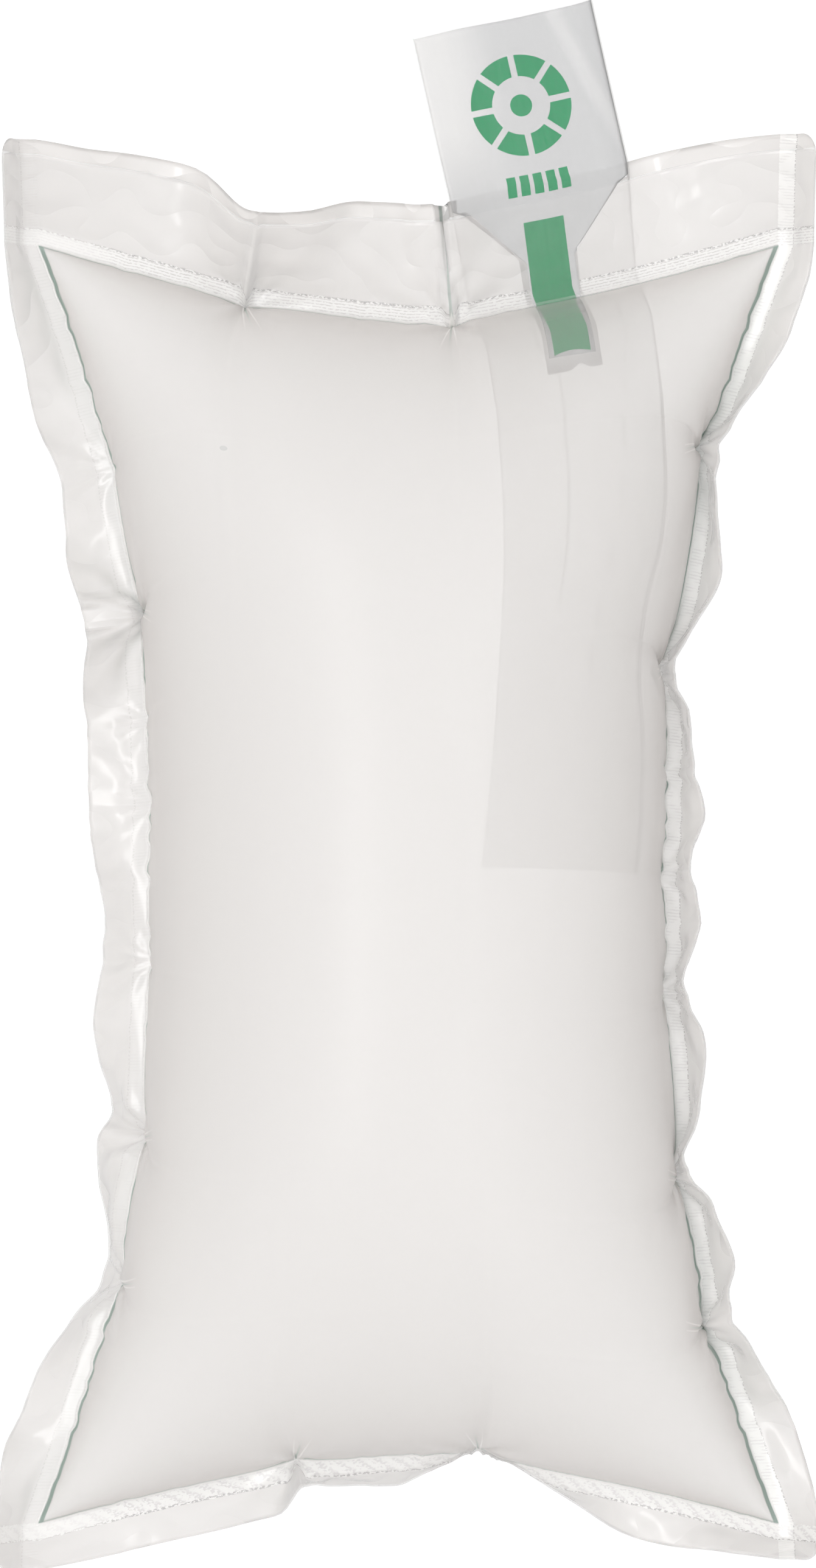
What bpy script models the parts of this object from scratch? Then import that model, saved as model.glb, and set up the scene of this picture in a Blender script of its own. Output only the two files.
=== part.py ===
"""An inflated air cushion bag for packing boxes, lying on its back panel with its inlet towards +Y.

Two film panels are welded together along a strip on all four sides, and loose skirts of film are left outside
the welds. The air inlet is a flat sleeve of two films that passes through the top weld. A printed liner between
them keeps the way in open where the weld crosses it. The welds gather into puckers as the bag fills.

Metres, +Z up. The floor is at Z = 0 and the origin is under the middle of the whole bag.
"""

import math

import bmesh
import bpy
import numpy as np
from mathutils import Vector

# Film and welds
PANEL_FILM = 0.00008
VALVE_FILM = 0.00005
CLEARANCE = 0.0003
SEAL_WIDTH = 0.0056

# The flat bag: the chamber between the welds, and the skirts from the weld's inner edge to the film's edge
CHAMBER_WIDTH = 0.267
CHAMBER_LENGTH = 0.444
SKIRT_LEFT = 0.020
SKIRT_RIGHT = 0.017
SKIRT_TOP = 0.040
SKIRT_BOTTOM = 0.0165
FRONT_TOP_SHORT = 0.0055

# What filling does to it
END_GATHER = 0.024
SIDE_GATHER = 0.024
TOP_SAG = 0.025
BOTTOM_SAG = 0.022
FLOOR_DENT = 0.0025
CHAMBER_MID_Y = -0.0330
CHAMBER_MID_X = 0.0
LEFT_CURL = 60.0
RIGHT_CURL = 48.0
END_CURL = 33.0
CURL_WEIGHT = 2.0
CURL_REACH = 0.06

# Puckers: place along the weld from -1 to 1, notch depth, how far the weld is lifted, and the skirt's tilt in
# degrees, where up is positive
LEFT_PUCKERS = (
    (-0.620, 0.0035, -0.0030, -76.0),
    (-0.390, 0.0045, 0.0035, -60.0),
    (-0.118, 0.0015, -0.0020, -32.0),
    (0.124, 0.0012, 0.0010, -12.0),
    (0.254, 0.0012, -0.0010, -10.0),
    (0.421, 0.0040, 0.0030, 32.0),
    (0.653, 0.0020, -0.0020, -28.0),
)
RIGHT_PUCKERS = (
    (-0.688, 0.0040, 0.0030, 66.0),
    (-0.452, 0.0045, 0.0030, 86.0),
    (-0.168, 0.0030, -0.0025, 74.0),
    (0.018, 0.0028, 0.0010, 64.0),
    (0.179, 0.0012, -0.0010, 56.0),
    (0.331, 0.0080, 0.0040, 88.0),
    (0.682, 0.0055, -0.0030, 80.0),
)
TOP_PUCKERS = (
    (-0.442, 0.0022, -0.0030, 44.0),
    (-0.160, 0.0003, 0.0010, 14.0),
    (0.118, 0.0026, 0.0012, 12.0),
)
BOTTOM_PUCKERS = (
    (-0.303, 0.0030, 0.0025, 62.0),
    (-0.060, 0.0003, -0.0010, 58.0),
    (0.191, 0.0044, -0.0030, 93.0),
)
BASE_TILT = {"left": 14.0, "right": 36.0, "top": 12.0, "bottom": 14.0}
BASE_WEIGHT = 0.2
NOTCH_WIDTH = 0.011
LIFT_WIDTH = 0.016
TILT_WIDTH = 0.024
GROOVE_LENGTH = 0.032
END_GROOVE = 0.30

# The inlet: a flat sleeve, its middle line seen from above, and how far it goes in
SLEEVE_WIDTH = 0.060
TAB_REACH = 0.0545
TAB_LEAN = 12.9
TAB_LIFT = 6.0
TAB_BOW = 0.0015
SLEEVE_LINE = (
    (0.0427, 0.1979),
    (0.0475, 0.1619),
    (0.0523, 0.1495),
    (0.0561, 0.1235),
    (0.0591, 0.0815),
    (0.0571, 0.0435),
    (0.0545, 0.0005),
    (0.0511, -0.0289),
)
SLEEVE_REACH = 0.212
SLEEVE_FREE = 0.050
SLEEVE_MARGIN = 0.0025
SLEEVE_DROP = 0.006
FUNNEL_TOP = 0.034
FUNNEL_NECK = 0.017
TONGUE_WIDTH = 0.018
TONGUE_REACH = 0.034
BAR_WIDTH = 0.0125

# The printed mark on the tab: a plain ring round a plain block
MARK_RADIUS = 0.014
MARK_BAND = 0.0055

# Mesh spacing
ROW_STEP = 0.11
COLUMN_STEP = 0.125
ROW_FLANK = 0.030
COLUMN_FLANK = 0.045
SKIRT_STEPS = 2
TAB_ROWS = 10
SLEEVE_COLUMNS = 6
LINER_COLUMNS = 12

HALF_HEIGHT = CHAMBER_WIDTH / math.pi
SEAM_Z = HALF_HEIGHT - FLOOR_DENT
HALF_CHORD_X = (CHAMBER_WIDTH - END_GATHER) / 2
HALF_CHORD_Y = (CHAMBER_LENGTH - SIDE_GATHER) / 2
SIDE_SAG = HALF_CHORD_X - HALF_HEIGHT
SLEEVE_HALF_AT_WELD = SLEEVE_WIDTH / 2 * 2 * HALF_CHORD_X / CHAMBER_WIDTH
SLEEVE_STEP = 1.2 * CLEARANCE + VALVE_FILM
PANEL_HALF_GAP = CLEARANCE * 0.75
SLEEVE_HALF_GAP = 2 * SLEEVE_STEP + CLEARANCE / 2
SLEEVE_BELOW_FRONT = 2.5 * CLEARANCE

COLOURS = {
    "panel": (0.83, 0.81, 0.79, 1.0),
    "sleeve": (0.74, 0.73, 0.72, 1.0),
    "print": (0.13, 0.40, 0.21, 1.0),
}


def material(name, colour, alpha):
    """A Principled material of one colour."""
    made = bpy.data.materials.new(name)
    made.use_nodes = True
    shader = made.node_tree.nodes["Principled BSDF"]
    shader.inputs["Base Color"].default_value = colour
    shader.inputs["Roughness"].default_value = 0.32
    shader.inputs["Metallic"].default_value = 0.0
    shader.inputs["Alpha"].default_value = alpha
    return made


def grid_lines(puckers_low, puckers_high, flank, step):
    """Pairs of places, on the low and the high side, that the grid's lines join.

    Each line joins a pucker to its partner across the bag, with a line close on each side of it, and the
    stretches between them are filled evenly.
    """
    knots = [(-1.0, -1.0)]
    for low, high in zip(puckers_low, puckers_high):
        knots += [(low[0] + k * flank, high[0] + k * flank) for k in (-1, 0, 1)]
    knots.append((1.0, 1.0))
    lines = [knots[0]]
    for start, end in zip(knots, knots[1:]):
        reach = (end[0] - start[0] + end[1] - start[1]) / 2
        parts = max(1, round(reach / step))
        for n in range(1, parts + 1):
            share = n / parts
            lines.append(tuple(a + (b - a) * share for a, b in zip(start, end)))
    return np.array(lines)


def crossings(rows, columns):
    """Where the slanting rows and columns cross, in places from -1 to 1 across and along the chamber."""
    row_mid, row_lean = rows.mean(axis=1), (rows[:, 1] - rows[:, 0]) / 2
    column_mid, column_lean = columns.mean(axis=1), (columns[:, 1] - columns[:, 0]) / 2
    row_mid, row_lean = row_mid[:, None], row_lean[:, None]
    across = (column_mid + column_lean * row_mid) / (1 - column_lean * row_lean)
    along = row_mid + row_lean * across
    return across, along


def sum_of(puckers, value, place, width, half_length, power):
    """The sum over puckers of one of their values times a bump of that width round each."""
    total = np.zeros_like(place)
    for pucker in puckers:
        away = np.abs(place - pucker[0]) * half_length / width
        total += pucker[value] * np.exp(-(away**power))
    return total


def tilt_of(puckers, place, half_length, base, curl):
    """The skirt's tilt in radians: the pucker's own tilt near it, the side's own tilt between, and a curl
    at the corners."""
    turn, weight = np.full_like(place, BASE_WEIGHT * base), np.full_like(place, BASE_WEIGHT)
    for pucker in puckers:
        near = np.exp(-((np.abs(place - pucker[0]) * half_length / TILT_WIDTH) ** 2))
        turn += pucker[3] * near
        weight += near
    corner = CURL_WEIGHT * np.exp(-(1 - np.abs(place)) / CURL_REACH)
    return np.radians((turn + curl * corner) / (weight + corner))


def seam_curves(s, t):
    """The smooth weld lines in plan: left and right X at t along the bag, bottom and top Y at s across it."""
    side = SIDE_SAG * (1 - np.abs(t) ** 2.4)
    left = CHAMBER_MID_X - HALF_CHORD_X + side
    right = CHAMBER_MID_X + HALF_CHORD_X - side
    top = CHAMBER_MID_Y + HALF_CHORD_Y - TOP_SAG * (1 - np.abs(s) ** 1.5)
    bottom = CHAMBER_MID_Y - HALF_CHORD_Y + BOTTOM_SAG * (1 - np.abs(s) ** 1.6)
    return left, right, bottom, top


def chamber(across, along):
    """The chamber's front film, and the level surface that the welds lie in, as arrays of points.

    The film is half a round tube in the middle of the bag and flattens towards the end welds. Each pucker
    pulls its weld in by its notch, and a groove runs from it up the film.
    """
    middle = 1 - np.abs(along) ** 3
    s = across + (np.sin(math.pi / 2 * across) - across) * middle
    centre = 0.5 * (1 - np.abs(across) ** 3)
    t = along + (np.sin(math.pi / 2 * along) - along) * centre
    left, right, bottom, top = seam_curves(s, t)
    x = left + (right - left) * (s + 1) / 2
    y = bottom + (top - bottom) * (t + 1) / 2
    rise = HALF_HEIGHT * np.sqrt(np.clip(1 - s**2, 0, 1)) * np.clip(1 - np.abs(t) ** 2.6, 0, 1) ** 0.6
    level = np.zeros_like(x)
    half_x, half_y = CHAMBER_WIDTH / 2, CHAMBER_LENGTH / 2
    for puckers, place, inward, half, sign in (
        (LEFT_PUCKERS, along, (1 + across) * half_x, half_y, 1),
        (RIGHT_PUCKERS, along, (1 - across) * half_x, half_y, -1),
    ):
        fade = np.exp(-inward / GROOVE_LENGTH)
        notch = sum_of(puckers, 1, place, NOTCH_WIDTH, half, 1) * fade
        x = x + sign * notch
        rise = rise * (1 - notch / HALF_HEIGHT)
        level = level + sum_of(puckers, 2, place, LIFT_WIDTH, half, 2) * fade
    for puckers, place, inward, half, sign in (
        (BOTTOM_PUCKERS, across, (1 + along) * half_y, half_x, 1),
        (TOP_PUCKERS, across, (1 - along) * half_y, half_x, -1),
    ):
        fade = np.exp(-inward / GROOVE_LENGTH)
        notch = sum_of(puckers, 1, place, NOTCH_WIDTH, half, 1) * fade
        y = y + sign * notch
        rise = rise * (1 - END_GROOVE * notch / max(pucker[1] for pucker in puckers))
        level = level + sum_of(puckers, 2, place, LIFT_WIDTH, half, 2) * fade
    flat = np.stack([x, y, SEAM_Z + level], axis=-1)
    return flat, rise


def outward(seam, sign):
    """The level direction away from the chamber: square to a weld line from its neighbouring points, and
    square to the line between the corners at its two ends."""
    step = np.gradient(seam[:, :2], axis=0)
    step /= np.linalg.norm(step, axis=1)[:, None]
    chord = (seam[-1] - seam[0])[:2]
    chord /= np.linalg.norm(chord)
    end = np.linspace(-1, 1, len(seam))[:, None] ** 4
    step = step * (1 - end) + chord * end
    away = np.stack([step[:, 1], -step[:, 0]], axis=-1) * sign
    away /= np.linalg.norm(away, axis=1)[:, None]
    return np.concatenate([away, np.zeros((len(away), 1))], axis=1)


def skirt(seam, smooth, sign, tilt, distances):
    """Rows of points from a weld line out to the film's edge, tilted by the weld's own tilt there.

    The direction comes from the weld's smooth line, and the notch in the weld fades out across the skirt.
    """
    away = outward(smooth, sign)
    rise = np.array([0.0, 0.0, 1.0])
    direction = np.cos(tilt)[:, None] * away + np.sin(tilt)[:, None] * rise
    notch = seam - smooth
    rows = []
    for distance in distances:
        fade = math.exp(-distance / (2 * SEAL_WIDTH))
        keep = notch * fade + smooth
        keep[:, 2] = seam[:, 2]
        rows.append(keep + direction * distance)
    return rows


def skirt_distances(width, steps):
    """The seal's outer edge, then even steps to the film's edge."""
    return [SEAL_WIDTH] + [
        SEAL_WIDTH + (width - SEAL_WIDTH) * n / steps for n in range(1, steps + 1)
    ]


def top_distances():
    """The top skirt's rows: both panels share all but the last, where only the back panel reaches."""
    return skirt_distances(SKIRT_TOP - FRONT_TOP_SHORT, 2 * SKIRT_STEPS) + [SKIRT_TOP]


def smooth_seams(across, along):
    """The four weld lines without their notches, as points in the order of the grid's lines."""
    lines = {}
    for side, s, t in (
        ("left", np.full(len(along), -1.0), along[:, 0]),
        ("right", np.full(len(along), 1.0), along[:, -1]),
        ("bottom", across[0], np.full(across.shape[1], -1.0)),
        ("top", across[-1], np.full(across.shape[1], 1.0)),
    ):
        left, right, bottom, top = seam_curves(s, t)
        x = left + (right - left) * (s + 1) / 2
        y = bottom + (top - bottom) * (t + 1) / 2
        lines[side] = np.stack([x, y, np.full(len(x), SEAM_Z)], axis=-1)
    return lines


def level_grid():
    """The level surface of the welds and skirts as one grid of points, with the front film's rise over it.

    Returns the grid, the rise, and the rows and columns where the chamber starts and ends.
    """
    rows = grid_lines(LEFT_PUCKERS, RIGHT_PUCKERS, ROW_FLANK, ROW_STEP)
    columns = grid_lines(BOTTOM_PUCKERS, TOP_PUCKERS, COLUMN_FLANK, COLUMN_STEP)
    across, along = crossings(rows, columns)
    flat, rise = chamber(across, along)
    smooth = smooth_seams(across, along)
    half_x, half_y = CHAMBER_WIDTH / 2, CHAMBER_LENGTH / 2
    tilts = {
        "left": tilt_of(LEFT_PUCKERS, along[:, 0], half_y, BASE_TILT["left"], LEFT_CURL),
        "right": tilt_of(RIGHT_PUCKERS, along[:, -1], half_y, BASE_TILT["right"], RIGHT_CURL),
        "bottom": tilt_of(BOTTOM_PUCKERS, across[0], half_x, BASE_TILT["bottom"], END_CURL),
        "top": tilt_of(TOP_PUCKERS, across[-1], half_x, BASE_TILT["top"], END_CURL),
    }
    out = {
        "left": skirt_distances(SKIRT_LEFT, SKIRT_STEPS),
        "right": skirt_distances(SKIRT_RIGHT, SKIRT_STEPS),
        "bottom": skirt_distances(SKIRT_BOTTOM, SKIRT_STEPS),
        "top": top_distances(),
    }
    left = skirt(flat[:, 0], smooth["left"], -1, tilts["left"], out["left"])
    right = skirt(flat[:, -1], smooth["right"], 1, tilts["right"], out["right"])
    bottom = skirt(flat[0], smooth["bottom"], 1, tilts["bottom"], out["bottom"])
    top = skirt(flat[-1], smooth["top"], -1, tilts["top"], out["top"])
    middle = np.stack(left[::-1] + [flat[:, i] for i in range(flat.shape[1])] + right, axis=1)
    lower = [corner_row(middle[0], line, len(left), len(right)) for line in bottom[::-1]]
    upper = [corner_row(middle[-1], line, len(left), len(right)) for line in top]
    grid = np.concatenate([np.array(lower), middle, np.array(upper)], axis=0)
    full_rise = np.zeros(grid.shape[:2])
    edges = (len(lower), len(lower) + len(rows), len(left), len(left) + len(columns))
    full_rise[edges[0] : edges[1], edges[2] : edges[3]] = rise
    return grid, full_rise, edges


def corner_row(side_row, line, left_count, right_count):
    """A row of the top or bottom skirt, run on across both side skirts at the corners."""
    low = side_row[:left_count] + (line[0] - side_row[left_count])
    high = side_row[-right_count:] + (line[-1] - side_row[-right_count - 1])
    return np.concatenate([low, line, high], axis=0)


def normals_of(grid):
    """The unit normal at each point of a grid, from its neighbours."""
    normal = np.cross(np.gradient(grid, axis=1), np.gradient(grid, axis=0))
    return normal / np.linalg.norm(normal, axis=-1)[..., None]


def panel_points(grid, rise, edges, side):
    """A panel's inner surface: the level grid moved off by half the gap between the panels, plus its rise.

    The gap widens where the sleeve passes between the panels.
    """
    x, y = grid[..., 0], grid[..., 1]
    line = np.array(SLEEVE_LINE)
    middle = np.interp(y, line[::-1, 1], line[::-1, 0])
    beside = np.clip((np.abs(x - middle) - 0.62 * SLEEVE_WIDTH) / (0.3 * SLEEVE_WIDTH), 0, 1)
    upper = np.zeros(len(grid))
    upper[edges[1] - 1 :] = 1.0
    near = (1 - beside) * upper[:, None]
    half = PANEL_HALF_GAP + (SLEEVE_HALF_GAP - PANEL_HALF_GAP) * near
    points = grid + side * half[..., None] * normals_of(grid)
    points[..., 2] += side * rise
    if side < 0:
        points[..., 2] = np.maximum(points[..., 2], PANEL_FILM)
    return points


def row_at(points, x):
    """Points on one row of a grid at the given X places."""
    return np.stack([np.interp(x, points[:, 0], points[:, k]) for k in range(points.shape[1])], axis=-1)


def sleeve_middle(row):
    """Where the sleeve's middle line crosses a row of a grid, as an X."""
    line = np.array(SLEEVE_LINE)[::-1]
    middle = line[-1, 0]
    for _ in range(3):
        y = np.interp(middle, row[:, 0], row[:, 1])
        middle = float(np.interp(y, line[:, 1], line[:, 0]))
    return middle


def funnel_half(distance, edge_half):
    """Half the liner's width at a distance outside the top weld: the tab's width, then a funnel to a neck."""
    share = np.clip((distance - FUNNEL_NECK) / (FUNNEL_TOP - FUNNEL_NECK), 0, 1)
    return TONGUE_WIDTH / 2 + (edge_half - TONGUE_WIDTH / 2) * share**1.3


def inner_row(front_row, weld_x, depth, free, spread):
    """A row of the sleeve inside the chamber, at its depth under the front film.

    As far in as the tongue it follows the film. Further in it hangs free: it touches the film by its right
    edge only, and runs from there as a straight strip that keeps the sleeve's full width.
    """
    middle = sleeve_middle(front_row)
    low, high = middle - SLEEVE_HALF_AT_WELD, min(middle + SLEEVE_HALF_AT_WELD, weld_x - SLEEVE_MARGIN)
    found = row_at(front_row, (low + high) / 2 + spread * (high - low) / 2)
    follow = found[:, :3].copy()
    climb = math.sqrt(max(SLEEVE_WIDTH**2 - (high - low) ** 2, 0.0)) / (high - low)
    edge = row_at(front_row, np.array([high]))[0]
    straight = edge[2] - SLEEVE_DROP + climb * (high - follow[:, 0])
    follow[:, 2] += np.minimum(straight - follow[:, 2], 0.0) * free
    return follow - depth * found[:, 3:]


def inner_rows(front, edges, reach, depth, spread):
    """The sleeve's rows inside the chamber, from the top weld in, up to its reach along the front film."""
    under = np.concatenate([front, normals_of(front)], axis=-1)
    first = edges[1] - 1
    before = row_at(front[first], np.array([sleeve_middle(front[first])]))[0]
    rows, gone = [], 0.0
    for j in range(first - 1, edges[0], -1):
        here = row_at(front[j], np.array([sleeve_middle(front[j])]))[0]
        step = float(np.linalg.norm(here - before))
        free = min(1.0, max(0.0, gone + step - TONGUE_REACH) / SLEEVE_FREE) ** 2
        row = inner_row(under[j], front[j, edges[3] - 1, 0], depth, free, spread)
        if gone + step > reach:
            last = rows[-1] if rows else row
            rows.append(last + (row - last) * (reach - gone) / step)
            break
        rows.append(row)
        gone, before = gone + step, here
    return rows[::-1]


def skirt_rows(grid, edges, layer, inset, spread, funnel):
    """The sleeve's rows between the panels' skirts, from the top weld out to the back panel's edge.

    Each film lies beside the level surface, and layer sets on which side and how far.
    """
    lies = np.concatenate([grid, normals_of(grid)], axis=-1)
    at_edge = SLEEVE_WIDTH / 2 * math.cos(math.radians(TAB_LEAN))
    rows = []
    for j, distance in zip(range(edges[1] - 1, len(grid)), [0.0] + top_distances()):
        share = distance / SKIRT_TOP
        wide = SLEEVE_HALF_AT_WELD + (at_edge - SLEEVE_HALF_AT_WELD) * share - inset
        half = funnel_half(distance, wide) if funnel else wide
        found = row_at(lies[j], sleeve_middle(grid[j]) + spread * half)
        rows.append(found[:, :3] + layer * SLEEVE_STEP * found[:, 3:])
    return rows


def tab_rows(edge, inset, spread):
    """The tab's rows outside the back panel's edge: straight out, lifting and bowing a little."""
    lean = math.radians(TAB_LEAN)
    rows = []
    for n in range(1, TAB_ROWS + 1):
        share = n / TAB_ROWS
        reach = (TAB_REACH - inset) * share
        lift = reach * math.sin(math.radians(TAB_LIFT) * share)
        step = np.array([-math.sin(lean) * reach, math.cos(lean) * reach, lift])
        bow = TAB_BOW * share * (1 - spread**2)
        rows.append(edge + step + bow[:, None] * np.array([0.0, 0.0, 1.0]))
    return rows


def sleeve_rows(grid, front, edges, layer, columns, funnel):
    """All the rows of one of the sleeve's films, from its inner end to the tab's end.

    Returns the points, and the row that lies in the top weld.
    """
    spread = np.linspace(-1, 1, columns + 1)
    inset = CLEARANCE if funnel else 0.0
    depth = SLEEVE_BELOW_FRONT + (1 - layer) * SLEEVE_STEP
    inside = (TONGUE_REACH, spread * TONGUE_WIDTH / SLEEVE_WIDTH) if funnel else (SLEEVE_REACH, spread)
    inner = inner_rows(front, edges, inside[0], depth, inside[1])
    between = skirt_rows(grid, edges, layer, inset, spread, funnel)
    tab = tab_rows(between[-1], inset, spread)
    return np.array(inner + between + tab), len(inner)


def film_object(name, points, thickness, outward_up, materials, collection):
    """A grid of film at the given points, thickened on its outer side by Solidify."""
    rows, columns = points.shape[:2]
    mesh = bpy.data.meshes.new(name)
    bm = bmesh.new()
    bmesh.ops.create_grid(bm, x_segments=columns - 1, y_segments=rows - 1, size=1.0)
    for vertex in bm.verts:
        i = round((vertex.co.x + 1) / 2 * (columns - 1))
        j = round((vertex.co.y + 1) / 2 * (rows - 1))
        vertex.co = Vector(points[j, i])
    if not outward_up:
        bmesh.ops.reverse_faces(bm, faces=bm.faces)
    bm.to_mesh(mesh)
    bm.free()
    mesh.shade_smooth()
    for one in materials:
        mesh.materials.append(one)
    film = bpy.data.objects.new(name, mesh)
    collection.objects.link(film)
    wall = film.modifiers.new("film", "SOLIDIFY")
    wall.thickness = thickness
    wall.offset = 1.0
    return film


def print_fields(film, points, weld_row):
    """Gives the liner's faces the print's colour: the bar along its middle, and the mark on the tab."""
    edge_row = len(points) - 1 - TAB_ROWS
    tab = points[edge_row:]
    centre = tab[TAB_ROWS // 2].mean(axis=0)
    columns = points.shape[1] - 1
    for face in film.data.polygons:
        here = np.array(face.center)
        j, i = divmod(face.index, columns)
        from_middle = abs(i + 0.5 - columns / 2) / columns
        width = np.linalg.norm(points[j, -1] - points[j, 0])
        away = np.linalg.norm((here - centre)[:2])
        on_tab = j >= edge_row
        ring = on_tab and abs(away - MARK_RADIUS) < MARK_BAND / 2
        core = on_tab and away < MARK_RADIUS / 3
        bar = weld_row - 3 <= j < edge_row - 1 and from_middle * width < BAR_WIDTH / 2
        face.material_index = 1 if ring or core or bar else 0


def build():
    """Clears the scene and makes the bag."""
    for old in list(bpy.data.objects):
        bpy.data.objects.remove(old)
    collection = bpy.data.collections.new("air_cushion_bag")
    bpy.context.scene.collection.children.link(collection)
    panel_film = material("panel_film", COLOURS["panel"], 0.75)
    sleeve_film = material("sleeve_film", COLOURS["sleeve"], 0.6)
    green_print = material("green_print", COLOURS["print"], 1.0)
    grid, rise, edges = level_grid()
    front = panel_points(grid, rise, edges, 1)
    back = panel_points(grid, rise, edges, -1)
    film_object("front_panel", front[:-1], PANEL_FILM, True, [panel_film], collection)
    film_object("back_panel", back, PANEL_FILM, False, [panel_film], collection)
    for name, layer, columns, funnel, materials in (
        ("sleeve_front_film", 1, SLEEVE_COLUMNS, False, [sleeve_film]),
        ("printed_liner", 0, LINER_COLUMNS, True, [sleeve_film, green_print]),
        ("sleeve_back_film", -1, SLEEVE_COLUMNS, False, [sleeve_film]),
    ):
        rows, weld_row = sleeve_rows(grid, front, edges, layer, columns, funnel)
        film = film_object(name, rows, VALVE_FILM, True, materials, collection)
        if funnel:
            print_fields(film, rows, weld_row)


build()
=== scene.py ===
"""An inflated air cushion bag on a white floor, seen from straight above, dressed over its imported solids.

Two panels of clear, slightly milky film are welded together along a strip on all four sides. The welds gather
into puckers as the bag fills, and loose skirts of film stand out from them. A flat inlet sleeve of two films
passes through the top weld, with a printed liner between them that ends outside in a tab.

Metres, +Z up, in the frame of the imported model. Every surface is a function of the film's own flat
coordinates, which are also its UV map: U across the bag and V along it, from the middle of the flat chamber.
"""

from __future__ import annotations

import logging
import math
from dataclasses import dataclass
from enum import Enum

import bpy
import numpy as np
from mathutils import Euler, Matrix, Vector

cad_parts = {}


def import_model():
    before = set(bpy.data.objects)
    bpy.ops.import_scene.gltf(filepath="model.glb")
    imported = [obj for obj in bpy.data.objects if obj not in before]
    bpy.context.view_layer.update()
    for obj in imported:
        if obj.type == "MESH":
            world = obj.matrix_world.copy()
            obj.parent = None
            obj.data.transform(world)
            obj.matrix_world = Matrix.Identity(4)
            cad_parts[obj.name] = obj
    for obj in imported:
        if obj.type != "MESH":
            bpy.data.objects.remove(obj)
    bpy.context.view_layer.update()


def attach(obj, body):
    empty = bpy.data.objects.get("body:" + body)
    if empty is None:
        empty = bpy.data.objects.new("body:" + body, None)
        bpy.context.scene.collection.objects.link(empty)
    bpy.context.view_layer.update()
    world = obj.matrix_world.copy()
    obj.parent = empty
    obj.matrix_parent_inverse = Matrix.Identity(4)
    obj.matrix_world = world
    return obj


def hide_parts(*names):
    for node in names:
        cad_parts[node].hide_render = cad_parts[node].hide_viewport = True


Array = np.ndarray
Pair = tuple[float, float]
Knots = tuple[Pair, ...]
Triple = tuple[float, float, float]

LOG = logging.getLogger("air_cushion_bag")
ROOT = "root"
UV_MAP = "flat"
CHANNEL = "channel"
UP = np.array([0.0, 0.0, 1.0])
MILLIMETRE = 0.001
# How far the edge of a pattern on the film is blurred, and how far the change between the bag's halves.
SOFT_EDGE = 0.00012
MIDDLE = 0.01
# The back panel's own rows past the front panel's edge, as shares of the width there.
EDGE_ROWS = np.array([0.34, 0.67, 1.0])


class Side(Enum):
    """The four welded sides of the bag."""

    LEFT = "left"
    RIGHT = "right"
    BOTTOM = "bottom"
    TOP = "top"

    @property
    def runs_along(self) -> bool:
        """Whether its weld runs along the bag, and not across it."""
        return self in (Side.LEFT, Side.RIGHT)


class Face(Enum):
    """Which of the two panels a film belongs to. The value is its side of the level of the welds."""

    FRONT = 1
    BACK = -1


@dataclass(frozen=True)
class Pucker:
    """One gather in a weld.

    place runs from -1 to 1 along the weld. notch is how far the weld is pulled in, and lift how far it moves
    up. crease is the depth of the small folds that fan out from its tip, and reach how far they run. pinch is
    how far to each side the welded strip turns up on edge towards the tip, or 0 where it doesn't.
    """

    place: float
    notch: float
    lift: float
    crease: float = 0.0004
    reach: float = 0.008
    pinch: float = 0.0


@dataclass(frozen=True)
class Weld:
    """One welded side: its puckers, and the skirt of film outside it.

    half is half the weld's flat length, and skirt the flat width from its inner edge to the film's edge.
    leans holds (place, reach seen from above in metres, 1 for up or -1 for down) along the skirt.
    """

    side: Side
    half: float
    skirt: float
    puckers: tuple[Pucker, ...]
    leans: tuple[tuple[float, float, int], ...]

    @property
    def places(self) -> tuple[float, ...]:
        """Its puckers' places."""
        return tuple(pucker.place for pucker in self.puckers)

    def bumps(self, name: str, place: Array, width: float, power: float) -> Array:
        """The sum over the puckers of one of their sizes times exp(-(distance / width) ** power).

        Args:
            name: The pucker's size to sum, such as notch.
            place: Places along the weld, from -1 to 1.
            width: The bumps' width in metres.
            power: 1 for a cusp, 2 for a round bump.

        Returns:
            One sum for each place.
        """
        size = np.array([getattr(pucker, name) for pucker in self.puckers])
        away = np.abs(place[..., None] - np.array(self.places)) * self.half / width
        return (size * np.exp(-(away**power))).sum(axis=-1)

    def taper(self, place: Array) -> Array:
        """How wide the strip looks from above for its puckers' pinch: 1 away from them and 0 at a tip."""
        share = np.ones_like(place)
        for pucker in self.puckers:
            if pucker.pinch:
                share = np.minimum(share, np.abs(place - pucker.place) * self.half / pucker.pinch)
        return share

    def tilt(self, place: Array) -> Array:
        """The skirt's tilt in radians: the angle whose cosine is its reach from above over its flat width."""
        knots = np.array(self.leans)
        angle = knots[:, 2] * np.arccos(np.clip(knots[:, 1] / self.skirt, -1, 1))
        return through_points(knots[:, 0], angle, place)


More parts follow.
